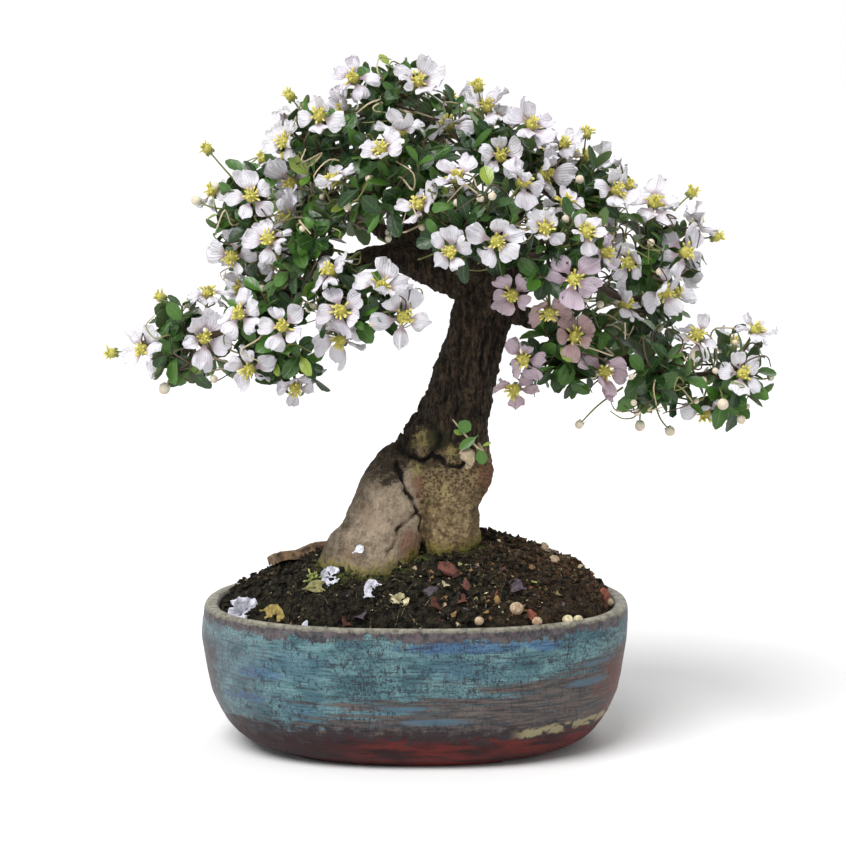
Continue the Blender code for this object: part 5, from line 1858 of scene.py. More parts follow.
@dataclass
class Crown:
    """Every leafy pad with its branch, shoots, leaves, blooms and buds."""

    growth: Growth
    finishes: dict[str, bpy.types.Material]
    leaf_length: tuple[float, float] = (5.8, 10.2)
    bloom_radius: float = 9.0
    stamens: int = 16
    small_buds: int = 6
    back_half: float = 20.0
    bloom_ceiling: float = 210.0
    loose_twigs: int = 15
    bloom_gap: float = 13.0
    tries: int = 400
    clear_reach: float = 9.0
    clear_depth: float = -2.2
    blooms: dict[str, list[Bloom]] = field(default_factory=dict)
    leaf_count: int = 0

    def build(self) -> None:
        """Make the branches, and the leaves and blooms of every pad."""
        self.plan_blooms()
        self.make_branches()
        for number, pad in enumerate(PADS):
            self.make_pad(pad, random.Random(PAD_SEED + number))
            self.make_blooms(pad, random.Random(BLOOM_SEED + number))
        LOG.info("%d leaves, %d blooms", self.leaf_count, sum(len(group) for group in self.blooms.values()))

    @staticmethod
    def limb_point(target: Vector) -> Vector:
        """The point on a limb's inner stretch that lies closest to the target, as in the part.

        Args:
            target: the point to reach.

        Returns:
            The point.
        """
        best = None
        for stations in LIMBS:
            points = [Vector(station[:3]) for station in stations]
            for low, high in zip(points, points[1:]):
                for share in (0.25, 0.5, 0.75, 0.97):
                    point = low.lerp(high, share)
                    if best is None or (point - target).length < (best - target).length:
                        best = point
        return best

    def make_branches(self) -> None:
        """The branch that carries each pad, from the nearest limb to the pad's middle."""
        pile = Pile("along", "tone")
        for number, pad in enumerate(PADS):
            rng = random.Random(BRANCH_SEED + number)
            centre = Vector(pad.centre)
            start = self.limb_point(centre)
            run = centre - start
            bow = Vector((0, 0, -0.12 * run.length))
            bend = Vector((rng.uniform(-1, 1), rng.uniform(-1, 1), rng.uniform(-1, 1))) * 0.05 * run.length
            rows = smooth_path([tuple(start), tuple(start + run * 0.35 + bow * 0.8 + bend),
                                tuple(start + run * 0.7 + bow * 0.7 - bend), tuple(centre)], 6)
            radii = np.linspace(1.9, 1.0, len(rows))
            pile.add(tube_form([Vector(row) for row in rows], list(radii), 9), tone=0.1)
        pile.make("branches", Slot.BARK, [self.finishes["twig"]], [])

    def plan_blooms(self) -> None:
        """Choose the place, facing and size of every bloom."""
        rng = random.Random(PLAN_SEED)
        self.blooms = {pad.name: [] for pad in PADS}
        for x, z in FRONT_BLOOMS:
            best = None
            for pad in FRONT_PADS:
                across = (x - pad.centre[0]) / pad.radii[0]
                up = (z - pad.centre[2]) / pad.radii[2]
                spare = 1 - across ** 2 - up ** 2
                y = pad.centre[1] - pad.radii[1] * math.sqrt(max(spare, 0.02))
                score = y + 60 * max(0.0, -spare)
                if best is None or score < best[0]:
                    best = (score, pad, Vector((x, y, z)))
            self.add_bloom(best[1], best[2], rng)
        by_name = {pad.name: pad for pad in PADS}
        for name, bearing, height in BACK_BLOOMS:
            pad = by_name[name]
            turn, rise = math.radians(bearing), math.radians(height)
            level = math.cos(rise)
            direction = Vector((math.sin(turn) * level, -math.cos(turn) * level, math.sin(rise)))
            self.add_bloom(pad, pad.surface(direction), rng)
        for name, count in MORE_BLOOMS.items():
            self.fill_pad(by_name[name], count, rng)

    def fill_pad(self, pad: Pad, count: int, rng: random.Random) -> None:
        """Add blooms to a pad where it faces out of the crown and no other bloom stands.

        Args:
            pad: the pad.
            count: how many.
            rng: the source of its variety.
        """
        outward = (Vector(pad.centre) - CROWN_MIDDLE).normalized()
        found = 0
        for _ in range(self.tries):
            direction = Vector((rng.gauss(0, 1), rng.gauss(0, 1), rng.gauss(0.3, 1))).normalized()
            place = pad.surface(direction, rng.uniform(0.76, 0.94))
            taken = any((bloom.middle - place).length < self.bloom_gap
                        for group in self.blooms.values() for bloom in group)
            if direction.dot(outward) < 0.1 or taken or found == count or place.z > self.bloom_ceiling:
                continue
            self.add_bloom(pad, place, rng)
            found += 1

    def add_bloom(self, pad: Pad, place: Vector, rng: random.Random) -> None:
        """Add one bloom to a pad, leaning outward, up and a little to the viewer as in the part.

        Args:
            pad: the pad.
            place: where it is.
            rng: the source of its variety.
        """
        lean = Vector((0, -0.5 if place.y < self.back_half else 0, 0.35))
        facing = (pad.direction(place).normalized() + lean).normalized()
        # Painted shade for blooms low under the crown's middle, carried into the petals' colour.
        shade = smooth_step(-place.z, -174, -158) * smooth_step(place.x, 5, 18)
        shade *= smooth_step(-place.x, -72, -58)
        shade *= rng.uniform(0.6, 1.0)
        bloom = Bloom(place + facing * 1.5, facing, self.bloom_radius * rng.uniform(0.78, 1.06),
                      max(0.35 * rng.random(), shade), pad.surface(pad.direction(place), 0.35))
        self.blooms[pad.name].append(bloom)

    def shoots(self, pad: Pad, rng: random.Random) -> Iterator[Shoot]:
        """The shoots of a pad, those that face out of the crown first.

        Args:
            pad: the pad.
            rng: the source of its variety.

        Yields:
            Each shoot, outer ones first.
        """
        outward = (Vector(pad.centre) - CROWN_MIDDLE).normalized()
        golden = math.pi * (3 - math.sqrt(5))
        total = 2 * pad.shoots
        directions = []
        for index in range(total):
            level = 1 - 2 * (index + 0.5) / total
            ring = math.sqrt(1 - level * level)
            turn = golden * index + pad.centre[0]
            direction = Vector((ring * math.cos(turn), ring * math.sin(turn), level))
            directions.append((direction.dot(outward) + 0.25 * level + rng.uniform(-0.45, 0.45), direction))
        directions.sort(key=lambda item: -item[0])
        for _, direction in directions[:pad.shoots]:
            tip = pad.surface(direction, rng.uniform(0.7, 0.98))
            start = pad.surface(direction, 0.08)
            bow = Vector((rng.uniform(-1, 1), rng.uniform(-1, 1), -1.2)) * 1.8
            rows = smooth_path([tuple(start), tuple(start.lerp(tip, 0.5) + bow), tuple(tip)], 4)
            facing = (direction + Vector((0, -0.15, 0.55))).normalized()
            yield Shoot([Vector(row) for row in rows], facing, rng.random())

    def make_pad(self, pad: Pad, rng: random.Random) -> None:
        """The leaves, twigs and buds of one pad, as the piece that replaces its CAD spray.

        Args:
            pad: the pad.
            rng: the source of its variety.
        """
        pile = Pile("along", "across", "under", "tone")
        for shoot in self.shoots(pad, rng):
            stem = tube_form(shoot.points, list(np.linspace(0.62, 0.34, len(shoot.points))), 5)
            pile.add(stem, 1, tone=0.15 + 0.5 * shoot.youth)
            self.leaf_shoot(pile, shoot, rng)
        for tip in BUD_TIPS:
            nearest = min(PADS, key=lambda item: item.direction(Vector(tip)).length)
            if nearest is pad:
                self.bud(pile, pad, Vector(tip), rng)
        for tip in SPENT_TIPS:
            nearest = min(PADS, key=lambda item: item.direction(Vector(tip)).length)
            if nearest is pad:
                matrix = self.stalk(pile, pad, Vector(tip), rng)
                self.boss(pile, matrix @ Matrix.Scale(0.9, 4), rng, (3, 2))
        for _ in range(self.loose_twigs):
            self.loose_twig(pile, pad, rng)
        for _ in range(self.small_buds):
            direction = Vector((rng.gauss(0, 1), rng.gauss(-0.4, 1), rng.gauss(0.1, 1))).normalized()
            tip = pad.surface(direction, rng.uniform(0.9, 1.08))
            if not self.hides_bloom(tip):
                self.bud(pile, pad, tip, rng, 0.7)
        finishes = [self.finishes[key] for key in ("leaf", "twig", "bud", "stamen")]
        pile.make("foliage_" + pad.name, Slot.LEAF, finishes, ["leaf_spray_" + pad.name])

    def leaf_shoot(self, pile: Pile, shoot: Shoot, rng: random.Random) -> None:
        """Set pairs of leaves along a shoot, each pair turned a quarter from the last.

        Args:
            pile: the piece that it goes into.
            shoot: the shoot.
            rng: the source of its variety.
        """
        nodes = ((3, 0.9), (5, 1.0), (6, 0.95), (8, 0.8))
        side = (shoot.points[-1] - shoot.points[0]).orthogonal().normalized()
        for number, (index, size) in enumerate(nodes):
            point = shoot.points[index]
            axis = (shoot.points[index] - shoot.points[index - 1]).normalized()
            across = (side - axis * side.dot(axis)).normalized()
            if number % 2:
                across = axis.cross(across)
            for way in (-1, 1):
                spread = math.radians(rng.uniform(12, 48) + 12 * (number == 3))
                along = (across * way * math.cos(spread) + axis * math.sin(spread)).normalized()
                roll = Vector((rng.gauss(0, 1), rng.gauss(0, 1), rng.gauss(0, 1))) * 0.28
                length = rng.uniform(*self.leaf_length) * size
                matrix = frame_matrix(point + along * 0.4, along + roll * 0.5, shoot.facing + roll)
                middle = point + along * length * 0.55
                if self.hides_bloom(middle):
                    continue
                young = number == 3 and shoot.youth > 0.55
                tone = min(1.0, 0.7 * rng.random() ** 1.6 + (0.4 if young else 0.0))
                leaf = rng.choice(self.growth.leaves).placed(matrix @ Matrix.Scale(length, 4))
                pile.add(leaf, 0, tone=tone)
                self.leaf_count += 1

    def hides_bloom(self, middle: Vector) -> bool:
        """Whether a leaf with this middle would stand before a bloom.

        Args:
            middle: the middle of the leaf or bud.

        Returns:
            True where it would.
        """
        for group in self.blooms.values():
            for bloom in group:
                gap = middle - bloom.middle
                if gap.length < self.clear_reach and gap.dot(bloom.facing) > self.clear_depth:
                    return True
        return False

    def loose_twig(self, pile: Pile, pad: Pad, rng: random.Random) -> None:
        """A thin bare twig that wanders over the pad among its leaves.

        Args:
            pile: the piece that it goes into.
            pad: the pad.
            rng: the source of its variety.
        """
        direction = Vector((rng.gauss(0, 1), rng.gauss(-0.3, 1), rng.gauss(0.1, 1))).normalized()
        points = [pad.surface(direction, 0.45)]
        for share in (0.8, 1.0, 1.1, 1.04):
            direction = (direction + Vector([rng.uniform(-0.34, 0.34) for _ in range(3)])).normalized()
            points.append(pad.surface(direction, share))
        rows = smooth_path([tuple(point) for point in points], 4)
        radii = list(np.linspace(0.42, 0.2, len(rows)))
        tone = rng.choice((0.1, 0.3, 0.6, 0.8, 1.2, 1.2))
        pile.add(tube_form([Vector(row) for row in rows], radii, 3), 1, tone=tone)

    def stalk(self, pile: Pile, pad: Pad, tip: Vector, rng: random.Random) -> Matrix:
        """A long thin stalk from inside a pad.

        Args:
            pile: the piece that it goes into.
            pad: the pad that it grows from.
            tip: where it ends.
            rng: the source of its variety.

        Returns:
            A frame at its tip whose Z runs on along the stalk.
        """
        start = pad.surface(pad.direction(tip).normalized(), 0.5)
        sag = Vector((rng.uniform(-1, 1), rng.uniform(-1, 1), rng.uniform(-1.5, 1.5)))
        rows = smooth_path([tuple(start), tuple(start.lerp(tip, 0.55) + sag), tuple(tip)], 5)
        points = [Vector(row) for row in rows]
        pile.add(tube_form(points, list(np.linspace(0.38, 0.26, len(points))), 5), 1, tone=0.75)
        axis = (points[-1] - points[-2]).normalized()
        return frame_matrix(tip, axis.orthogonal(), axis)

    def bud(self, pile: Pile, pad: Pad, tip: Vector, rng: random.Random, scale: float = 1.0) -> None:
        """A round bud on a long thin stalk.

        Args:
            pile: the piece that it goes into.
            pad: the pad.
            tip: where it ends.
            rng: the source of its variety.
            scale: its size against a full one.
        """
        matrix = self.stalk(pile, pad, tip, rng)
        size = rng.uniform(1.4, 2.0) * scale
        pile.add(self.growth.bud.placed(matrix @ Matrix.Diagonal((size, size, size * 1.05, 1))), 2, tone=0.0)
        for index in range(5):
            turn = Matrix.Rotation(2 * math.pi * index / 5, 4, "Z")
            shift = Matrix.Translation((0, size * 0.62, -size * 0.62))
            shape = Matrix.Diagonal((0.55 * scale, 0.35 * scale, 0.8 * scale, 1))
            pile.add(self.growth.seed.placed(matrix @ turn @ shift @ shape), 2, tone=1.0)

    def make_blooms(self, pad: Pad, rng: random.Random) -> None:
        """The blooms of one pad, as the piece that replaces its CAD blooms.

        Args:
            pad: the pad.
            rng: the source of its variety.
        """
        group = self.blooms[pad.name]
        nodes = [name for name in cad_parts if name.rsplit("_", 1)[0] == "blooms_" + pad.name]
        if not group:
            return
        pile = Pile("along", "across", "tone")
        for bloom in group:
            self.one_bloom(pile, bloom, rng)
        finishes = [self.finishes[key] for key in ("petal", "stamen", "twig", "bud")]
        pile.make("blossoms_" + pad.name, Slot.PETAL, finishes, nodes)

    def one_bloom(self, pile: Pile, bloom: Bloom, rng: random.Random) -> None:
        """Five petals, their stamens, a calyx with oval glands and a stalk.

        Args:
            pile: the piece that it goes into.
            bloom: the bloom.
            rng: the source of its variety.
        """
        spin = Matrix.Rotation(rng.uniform(0, FULL_TURN), 4, "Z")
        matrix = frame_matrix(bloom.middle, bloom.facing.orthogonal(), bloom.facing) @ spin
        for index in range(5):
            turn = Matrix.Rotation(2 * math.pi * index / 5 + math.radians(rng.uniform(-7, 7)), 4, "Z")
            tilt = Matrix.Rotation(math.radians(rng.uniform(-32, 44)), 4, "X")
            size = bloom.radius * rng.uniform(0.82, 1.08)
            petal = rng.choice(self.growth.petals)
            pile.add(petal.placed(matrix @ turn @ tilt @ Matrix.Scale(size, 4)), 0, tone=bloom.blush_and_shade)
        self.boss(pile, matrix, rng, (1, 3))
        foot = matrix @ Vector((0, 0, -1.2))
        bend = foot - bloom.facing * 5
        rows = smooth_path([tuple(bloom.root), tuple(bloom.root.lerp(bend, 0.6)), tuple(bend),
                            tuple(foot)], 4)
        points = [Vector(row) for row in rows]
        pile.add(tube_form(points, list(np.linspace(0.5, 0.55, len(points))), 5), 2, tone=0.85)

    def boss(self, pile: Pile, matrix: Matrix, rng: random.Random, finishes: tuple[int, int]) -> None:
        """The stamens round their dome, and the calyx with its oval glands below.

        Args:
            pile: the piece that it goes into.
            matrix: the bloom's frame.
            rng: the source of its variety.
            finishes: numbers of the stamens' and the calyx's materials in the piece.
        """
        for index in range(self.stamens):
            turn = Matrix.Rotation(2 * math.pi * (index + rng.uniform(-0.4, 0.4)) / self.stamens, 4, "Z")
            lean = Matrix.Rotation(math.radians(rng.uniform(-20, 46)), 4, "X")
            length = rng.uniform(2.4, 3.4)
            pile.add(self.growth.stamen.placed(matrix @ turn @ lean @ Matrix.Scale(length, 4)), finishes[0])
        dome = Matrix.Translation((0, 0, 0.7)) @ Matrix.Diagonal((1.9, 1.9, 1.9, 1))
        pile.add(self.growth.bud.placed(matrix @ dome), finishes[0], along=0.3)
        for index in range(10):
            turn = Matrix.Rotation(2 * math.pi * index / 10, 4, "Z")
            shift = Matrix.Translation((0, 1.45, -0.9))
            shape = Matrix.Diagonal((0.45, 0.5, 0.9, 1))
            pile.add(self.growth.seed.placed(matrix @ turn @ shift @ shape), finishes[1], tone=1.0, along=0.2)


@dataclass
class Sprout:
    """The young shoot low on the trunk.

    Attributes:
        stem: places along its bent stem, from inside the bark outwards.
        leaves: middle, length, width share, heading in degrees and tone of each leaf.
    """

    growth: Growth
    finishes: dict[str, bpy.types.Material]
    stem: tuple = ((20.5, -9.5, 101), (21.6, -16.2, 99.6), (19.2, -17.4, 101.6), (15.6, -16.8, 105.4),
                   (12.0, -14.6, 109.6))
    leaves: tuple = (((15.6, -17.6, 107.8), 5.0, 1.35, 55, 0.72),
                     ((16.8, -18.2, 102.6), 6.6, 0.85, 215, 0.66),
                     ((21.2, -18.2, 98.0), 4.8, 1.35, 290, 0.74), ((22.8, -18.0, 102.2), 3.2, 1.0, 30, 1.0),
                     ((13.6, -17.0, 105.8), 3.0, 1.0, 150, 0.9))

    def build(self) -> None:
        """Make its stem and leaves."""
        pile = Pile("along", "across", "under", "tone")
        points = [Vector(row) for row in smooth_path(self.stem, 4)]
        pile.add(tube_form(points, list(np.linspace(0.5, 0.26, len(points))), 6), 1, tone=1.2)
        for number, (middle, length, wide, heading, tone) in enumerate(self.leaves):
            turn = math.radians(heading)
            along = Vector((math.cos(turn), -0.2, math.sin(turn))).normalized()
            matrix = frame_matrix(Vector(middle) - along * length / 2, along, Vector((0.1, -1, 0.4)))
            shape = Matrix.Diagonal((length * wide, length, length, 1))
            pile.add(self.growth.leaves[3 + number].placed(matrix @ shape), 0, tone=tone)
        pile.make("sprout", Slot.LEAF, [self.finishes["leaf"], self.finishes["twig"]], ["trunk_sprout"])


@dataclass
class Moss:
    """Short moss on the soil round the trunk's foot.

    Attributes:
        soil: what it grows on.
        tufts: how many blades it has.
        patches: x, y, half width and half depth of each patch.
    """

    soil: Soil
    tufts: int = 3600
    patches: tuple = ((8, -18, 6, 1.5), (15, -17, 5, 1.4), (-6, -25, 5, 1.2), (-13, -27, 5, 1.4),
                      (2, -20.5, 3, 1.8), (21, -11, 1.5, 3), (-31, -16, 1.5, 3), (-24, -25, 3, 1.4))

    def build(self, finish: bpy.types.Material) -> None:
        """Strew tiny pointed blades over the patches.

        Args:
            finish: the material.
        """
        rng = random.Random(MOSS_SEED)
        pile = Pile("along")
        blade = tube_form([Vector((0, 0, -0.5)), Vector((0.1, 0, 1.0))], [0.3, 0.04], 3)
        for _ in range(self.tufts):
            middle_x, middle_y, half_width, half_depth = rng.choice(self.patches)
            x, y = rng.gauss(middle_x, half_width * 0.5), rng.gauss(middle_y, half_depth * 0.6)
            lean = (Matrix.Rotation(rng.uniform(-0.9, 0.9), 4, "X")
                    @ Matrix.Rotation(rng.uniform(-0.9, 0.9), 4, "Y"))
            size = rng.uniform(0.3, 0.75)
            seat = Matrix.Translation(self.soil.seat(x, y, 0.1))
            pile.add(blade.placed(seat @ lean @ Matrix.Scale(size, 4)))
        pile.make("moss", Slot.SOIL, [finish], [])


# Litter


class Scrap(Enum):
    """Kinds of litter on the soil."""

    PETAL = "petal"
    LEAF = "leaf"
    CHIP = "chip"
    BEAD = "bead"
    STALK = "stalk"
    FLOWER = "flower"
    BURST = "burst"


@dataclass(frozen=True)
class Litter:
    """One piece of litter: kind, colour name, x, y, size and bearing in degrees."""

    kind: Scrap
    colour: str
    x: float
    y: float
    size: float
    bearing: float = 0.0


LITTER = (
    Litter(Scrap.FLOWER, "white", -56, -23, 5.5), Litter(Scrap.PETAL, "white", -15.5, -34, 6, 70),
    Litter(Scrap.PETAL, "white", -13, -31, 5, 160), Litter(Scrap.FLOWER, "white", -27.5, -24, 3.6),
    Litter(Scrap.BURST, "lime", -33.5, -22, 3.2), Litter(Scrap.STALK, "lime", -38, -31, 11, 66),
    Litter(Scrap.LEAF, "olive", -32, -28, 8, 30), Litter(Scrap.LEAF, "yellow", -46, -30, 9.5, 320),
    Litter(Scrap.LEAF, "ochre", -41, -36, 6, 100), Litter(Scrap.FLOWER, "cream", -5, -37, 3.0),
    Litter(Scrap.CHIP, "russet", 10.5, -27, 9, 80), Litter(Scrap.LEAF, "russet", 7, -38, 8, 60),
    Litter(Scrap.LEAF, "russet", 14, -37, 7, 120), Litter(Scrap.LEAF, "plum", 5.5, -35, 6, 200),
    Litter(Scrap.LEAF, "plum", -17.5, -40, 8, 100), Litter(Scrap.LEAF, "plum", 31.5, -31, 9, 130),
    Litter(Scrap.LEAF, "russet", -22, -40.5, 7, 80), Litter(Scrap.CHIP, "orange", 62, -10, 4.6, 10),
    Litter(Scrap.CHIP, "orange", 37, -38, 5.4, 70), Litter(Scrap.CHIP, "plum", -28, -40, 3.6, 30),
    Litter(Scrap.CHIP, "russet", 16.5, -33, 4.5, 40), Litter(Scrap.LEAF, "cream", 9.5, -33, 5, 80),
    Litter(Scrap.CHIP, "ochre", 12, -41, 3, 150), Litter(Scrap.STALK, "lime", 39, -27, 8.5, 160),
    Litter(Scrap.STALK, "cream", -6.5, -36, 8, 130), Litter(Scrap.BEAD, "beige", 32, -38, 4.6),
    Litter(Scrap.BEAD, "beige", 38.5, -39, 3.4), Litter(Scrap.BEAD, "cream", 48.5, -34.5, 3.6),
    Litter(Scrap.BEAD, "cream", 52, -32, 3.2), Litter(Scrap.BEAD, "beige", 20, -42.5, 3.2),
    Litter(Scrap.BEAD, "beige", 63.5, -9, 3.4), Litter(Scrap.BEAD, "beige", -38, 28, 3.4),
    Litter(Scrap.BEAD, "beige", 45.5, -6, 4.0), Litter(Scrap.CHIP, "beige", 43, 6, 4.6, 20),
    Litter(Scrap.BEAD, "cream", 55, 0, 2.6), Litter(Scrap.PETAL, "white", -36, -39.5, 3.4, 20),
    Litter(Scrap.LEAF, "yellow", 22, 30, 8, 30), Litter(Scrap.PETAL, "white", 30, 32, 6, 210),
    Litter(Scrap.FLOWER, "white", -20, 31, 5), Litter(Scrap.LEAF, "russet", -8, 35, 7, 190),
    Litter(Scrap.CHIP, "ochre", 50, 20, 4, 80), Litter(Scrap.CHIP, "ochre", 26, -36, 3.5, 30),
    Litter(Scrap.LEAF, "ochre", 47, -24, 4, 100), Litter(Scrap.LEAF, "olive", 46, -27, 3.6, 60),
)
# Share of each colour among the small bits that lie everywhere
BIT_COLOURS = ("russet", "russet", "ochre", "cream", "plum", "beige", "russet", "plum", "olive", "ochre")


@dataclass
class LitterLayer:
    """Everything that has fallen on the soil, one piece for each colour."""

    soil: Soil
    growth: Growth
    effects: Effects
    bits: int = 230
    chip_place: tuple[float, float] = (-39.5, 6.0)
    chip_lift: float = 3.0
    chip_thickness: float = 2.8

    def colours(self) -> dict[str, ScrapFinish]:
        """The finish of each colour of litter.

        Returns:
            The finishes by colour name.
        """
        pairs = {
            "white": (tint(226, 226, 234), tint(190, 190, 206)),
            "olive": (tint(150, 146, 96), tint(104, 100, 62)),
            "yellow": (tint(164, 148, 78), tint(120, 98, 50)),
            "ochre": (tint(146, 116, 66), tint(98, 72, 44)),
            "cream": (tint(222, 214, 178), tint(176, 166, 128)),
            "russet": (tint(112, 62, 48), tint(64, 36, 30)),
            "plum": (tint(92, 80, 88), tint(48, 42, 52)),
            "orange": (tint(152, 84, 58), tint(104, 54, 40)),
            "beige": (tint(196, 176, 148), tint(146, 120, 92)),
            "lime": (tint(164, 172, 100), tint(118, 128, 64)),
        }
        return {name: ScrapFinish("litter_" + name, self.effects, light, dark)
                for name, (light, dark) in pairs.items()}

    def build(self) -> None:
        """Place each scrap on the soil and make one piece for each colour."""
        rng = random.Random(LITTER_SEED)
        piles = {name: Pile() for name in self.colours()}
        for scrap in LITTER:
            self.place(piles[scrap.colour], scrap, rng)
        for _ in range(self.bits):
            self.place(piles[rng.choice(BIT_COLOURS)], self.small_bit(rng), rng)
        on_bark = frame_matrix(Vector((-20.5, -26.6, 68.0)), Vector((1, -0.2, 0.7)), Vector((0, -1, 0.3)))
        piles["white"].add(self.growth.petals[4].placed(on_bark @ Matrix.Scale(4.4, 4)))
        for name, finish in self.colours().items():
            slot = Slot.PETAL if name == "white" else Slot.SOIL
            piles[name].make("litter_" + name, slot, [finish.material()], [])
        self.bark_chip()

    def small_bit(self, rng: random.Random) -> Litter:
        """A small bit somewhere on the soil, more often at the front right.

        Args:
            rng: the source of its variety.

        Returns:
            The bit.
        """
        while True:
            if rng.random() < 0.6:
                x, y = rng.gauss(24, 20), rng.uniform(-44, -22)
            else:
                x, y = rng.uniform(-62, 62), rng.uniform(-43, 43)
            if self.soil.inside(x, y, 0.97):
                break
        kind = rng.choice((Scrap.CHIP, Scrap.CHIP, Scrap.LEAF))
        return Litter(kind, "", x, y, 0.9 + 1.9 * rng.random() ** 2, rng.uniform(0, 360))

    def place(self, pile: Pile, scrap: Litter, rng: random.Random) -> None:
        """Set one scrap down on the slope of the soil.

        Args:
            pile: the piece that it goes into.
            scrap: what to place.
            rng: the source of its variety.
        """
        normal = self.soil.slope_normal(scrap.x, scrap.y)
        bearing = math.radians(scrap.bearing)
        heading = Vector((math.cos(bearing), math.sin(bearing), 0))
        if scrap.kind is Scrap.BEAD:
            radius = scrap.size / 2
            spread = Matrix.Diagonal((radius, radius * 0.94, radius * 0.92, 1))
            seat = self.soil.seat(scrap.x, scrap.y, radius * 0.45)
            pile.add(self.growth.bud.placed(Matrix.Translation(seat) @ spread))
            return
        lift = 0.9 if scrap.size > 3 else 0.35
        seat = self.soil.seat(scrap.x, scrap.y, lift)
        tip = -1.1 if scrap.size > 3 else -0.3
        lean = Vector((rng.uniform(-0.3, 0.3), tip + rng.uniform(-0.3, 0.3), 0))
        matrix = frame_matrix(seat, heading, normal + lean)
        if scrap.kind is Scrap.STALK:
            bend = [Vector((0, share * scrap.size, math.sin(share * 3) * 1.2))
                    for share in (0, 0.3, 0.6, 1.0)]
            pile.add(tube_form(bend, [0.3, 0.32, 0.36, 0.45], 6).placed(matrix))
            head = Matrix.Translation(bend[-1]) @ Matrix.Scale(1.1, 4)
            pile.add(self.growth.gland.placed(matrix @ head))
        elif scrap.kind is Scrap.CHIP:
            self.chip(pile, matrix, scrap.size / 2, rng)
        elif scrap.kind is Scrap.FLOWER:
            self.crumpled(pile, matrix, scrap.size, rng)
        elif scrap.kind is Scrap.BURST:
            for index in range(26):
                turn = Matrix.Rotation(2 * math.pi * index / 13 + rng.uniform(-0.2, 0.2), 4, "Z")
                rise = Matrix.Rotation(rng.uniform(-0.4, 0.9), 4, "X")
                pile.add(self.growth.stamen.placed(matrix @ turn @ rise @ Matrix.Scale(scrap.size, 4)))
        else:
            source = self.growth.petals if scrap.kind is Scrap.PETAL else self.growth.leaves
            shape = matrix @ Matrix.Translation((0, -scrap.size / 2, 0)) @ Matrix.Scale(scrap.size, 4)
            pile.add(rng.choice(source).placed(shape))

    def chip(self, pile: Pile, matrix: Matrix, half: float, rng: random.Random) -> None:
        """A flat uneven chip of a half length.

        Args:
            pile: the piece that it goes into.
            matrix: its frame.
            half: its half length.
            rng: the source of its variety.
        """
        shape = Matrix.Diagonal((half, half * rng.uniform(0.5, 0.9), half * rng.uniform(0.3, 0.6), 1))
        source = self.growth.gland if half > 1.4 else self.growth.seed
        chip = source.placed(matrix @ shape)
        chip.points += np.array([[rng.uniform(-0.18, 0.18) * half for _ in range(3)] for _ in chip.points])
        pile.add(chip)

    def crumpled(self, pile: Pile, matrix: Matrix, size: float, rng: random.Random) -> None:
        """A fallen bloom whose petals stand up and fold over each other.

        Args:
            pile: the piece that it goes into.
            matrix: its frame.
            size: its size.
            rng: the source of its variety.
        """
        for index in range(7):
            turn = Matrix.Rotation(2 * math.pi * index / 7 + rng.uniform(-0.4, 0.4), 4, "Z")
            rise = Matrix.Rotation(rng.uniform(-0.3, 1.1), 4, "X")
            reach = Matrix.Diagonal((size * 1.25, size, size * 1.2, 1))
            pile.add(rng.choice(self.growth.petals).placed(matrix @ turn @ rise @ reach))

    def bark_chip(self) -> None:
        """The flat chip of bark that lies at the left, behind the trunk's foot."""
        rng = random.Random(CHIP_SEED)
        grid = np.zeros((9, 6, 3))
        for row in range(9):
            for column in range(6):
                ragged = rng.uniform(-0.6, 0.6)
                grid[row, column] = ((column / 5 - 0.5) * 11 + ragged, (row / 8 - 0.5) * 20 + ragged,
                                     0.5 * math.sin(row * 1.3) + 0.4 * math.sin(column * 1.9))
        x, y = self.chip_place
        seat = Vector((x, y, self.soil.height(x, y) + self.chip_lift))
        heading = Matrix.Rotation(math.radians(20), 3, "Z") @ Vector((1, 0, 0.2))
        blade = sheet_form(grid, self.chip_thickness)
        form = blade.placed(frame_matrix(seat, heading, self.soil.slope_normal(x, y)))
        pile = Pile()
        pile.add(form)
        finish = ScrapFinish("litter_bark", self.effects, tint(138, 112, 82), tint(74, 58, 44), 0.9, 0.5)
        pile.make("bark_chip", Slot.SOIL, [finish.material()], [], 35)


# Studio


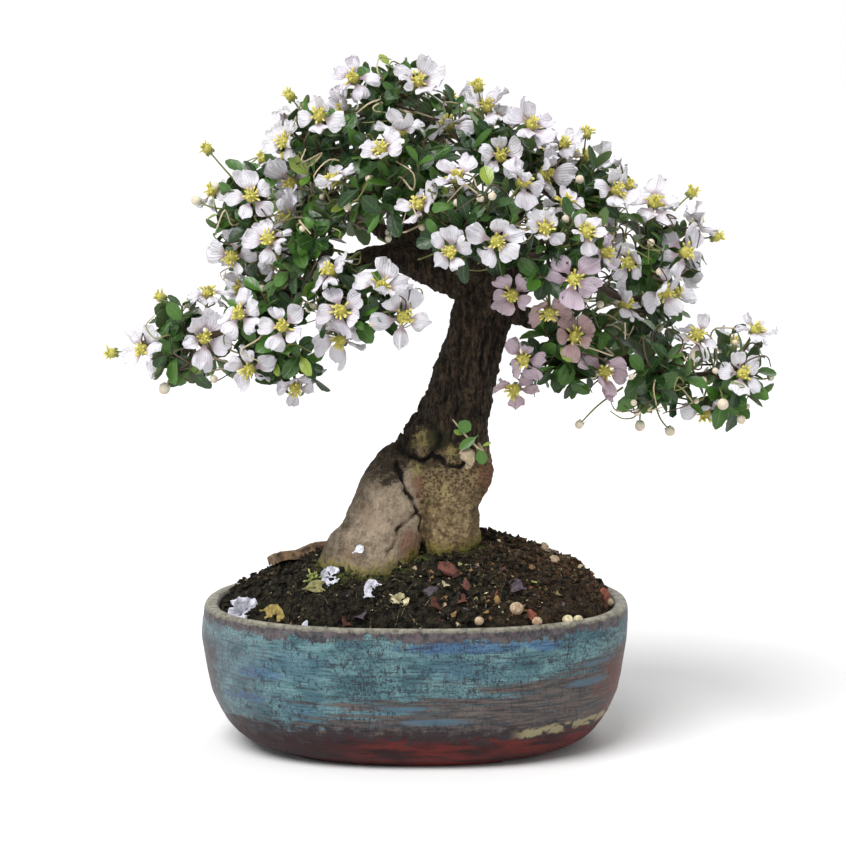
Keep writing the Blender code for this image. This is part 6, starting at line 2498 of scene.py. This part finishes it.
@dataclass
class Studio:
    """Pale floor, soft lights and the camera of the photograph."""

    pixel: float = 0.33
    frame_pixels: int = 846
    distance: float = 800.0
    pitch: float = 8.0
    target: tuple[float, float, float] = (2.3, 0.0, 106.5)
    horizon: tuple = (1.0, 1.0, 1.0, 1.0)
    zenith: tuple = (0.5, 0.5, 0.5, 1.0)
    key_place: tuple[float, float, float] = (-400, -560, 1000)
    key_spread: float = 40.0
    key_power: float = 3.4

    def build(self) -> None:
        """Place everything."""
        self.camera()
        self.floor()
        self.key()
        self.lamp("back", (250, 700, 750), 600, 2.4)
        world = bpy.data.worlds.new("studio")
        world.use_nodes = True
        sheet = Sheet(world.node_tree)
        _, _, height = sheet.parts(sheet.node("TexCoord", {}).outputs["Generated"])
        background = world.node_tree.nodes["Background"]
        sky = sheet.blend(sheet.step(height, 0.05, 0.3), self.horizon, self.zenith)
        sheet.join(sky, background.inputs["Color"])
        bpy.context.scene.world = world
        bpy.context.scene.view_settings.view_transform = "Standard"

    def camera(self) -> None:
        """The camera, 8 degrees above level, with the photograph's framing."""
        pitch = math.radians(self.pitch)
        data = bpy.data.cameras.new("camera")
        data.sensor_width = 36.0
        data.lens = 36.0 * (self.distance / self.pixel) / self.frame_pixels
        camera = bpy.data.objects.new("camera", data)
        offset = Vector((0, -math.cos(pitch), math.sin(pitch))) * self.distance
        camera.location = (Vector(self.target) + offset) * MM
        camera.rotation_euler = (math.radians(90 - self.pitch), 0, 0)
        bpy.context.scene.collection.objects.link(camera)
        bpy.context.scene.camera = camera

    def key(self) -> None:
        """The soft main light from the upper left, even over the whole floor."""
        data = bpy.data.lights.new("key", "SUN")
        data.angle = math.radians(self.key_spread)
        data.energy = self.key_power
        lamp = bpy.data.objects.new("key", data)
        lamp.rotation_euler = (-Vector(self.key_place)).to_track_quat("-Z", "Y").to_euler()
        bpy.context.scene.collection.objects.link(lamp)

    def lamp(self, name: str, place: tuple[float, float, float], size: float, power: float) -> None:
        """A soft square light that points at the tree.

        Args:
            name: its name.
            place: where it is.
            size: its size.
            power: its power in watts.
        """
        data = bpy.data.lights.new(name, "AREA")
        data.size = size * MM
        data.energy = power
        lamp = bpy.data.objects.new(name, data)
        lamp.location = Vector(place) * MM
        aim = Vector((0, 0, 120)) - Vector(place)
        lamp.rotation_euler = aim.to_track_quat("-Z", "Y").to_euler()
        bpy.context.scene.collection.objects.link(lamp)

    def floor(self) -> None:
        """A wide pale floor."""
        half = 60.0
        corners = [(-half, -half, 0), (half, -half, 0), (half, half, 0), (-half, half, 0)]
        mesh = bpy.data.meshes.new("floor")
        mesh.from_pydata(corners, [], [(0, 1, 2, 3)])
        material = bpy.data.materials.new("pale_floor")
        material.use_nodes = True
        shader = material.node_tree.nodes["Principled BSDF"]
        shader.inputs["Base Color"].default_value = (0.8, 0.8, 0.8, 1.0)
        shader.inputs["Roughness"].default_value = 1.0
        mesh.materials.append(material)
        floor = bpy.data.objects.new("floor", mesh)
        floor.location.z = -0.05 * MM
        bpy.context.scene.collection.objects.link(floor)
        floor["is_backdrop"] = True


def main() -> None:
    """Build the tree's looks in order."""
    logging.basicConfig(level=logging.INFO, format="%(message)s")
    Studio().build()
    effects = Effects()
    finishes = {
        "twig": TwigFinish("twig", effects).material(),
        "leaf": LeafFinish("leaf", effects).material(),
        "petal": PetalFinish("petal", effects).material(),
        "stamen": StamenFinish("stamen", effects).material(),
        "bud": BudFinish("bud", effects).material(),
    }
    pot = Pot()
    pot.build(GlazeFinish("glaze", effects).material())
    soil = Soil(pot)
    soil.build(SoilFinish("soil", effects).material())
    Trunk(soil).build(BarkFinish("bark", effects).material())
    growth = Growth(GROWTH_SEED)
    Crown(growth, finishes).build()
    Sprout(growth, finishes).build()
    moss = ScrapFinish("moss", effects, tint(98, 102, 40), tint(38, 48, 18), 0.9, 0.5)
    Moss(soil).build(moss.material())
    LitterLayer(soil, growth, effects).build()
    mesh_finish = ScrapFinish("screen", effects, tint(34, 34, 36), tint(16, 16, 18), 0.55, 0.4).material()
    for node in ("drain_screen_left", "drain_screen_right"):
        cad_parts[node].data.materials.clear()
        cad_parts[node].data.materials.append(mesh_finish)
    sizes = [[list(corner) for corner in box] for box in (CAD_BOX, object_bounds())]


if __name__ == "__main__":
    main()
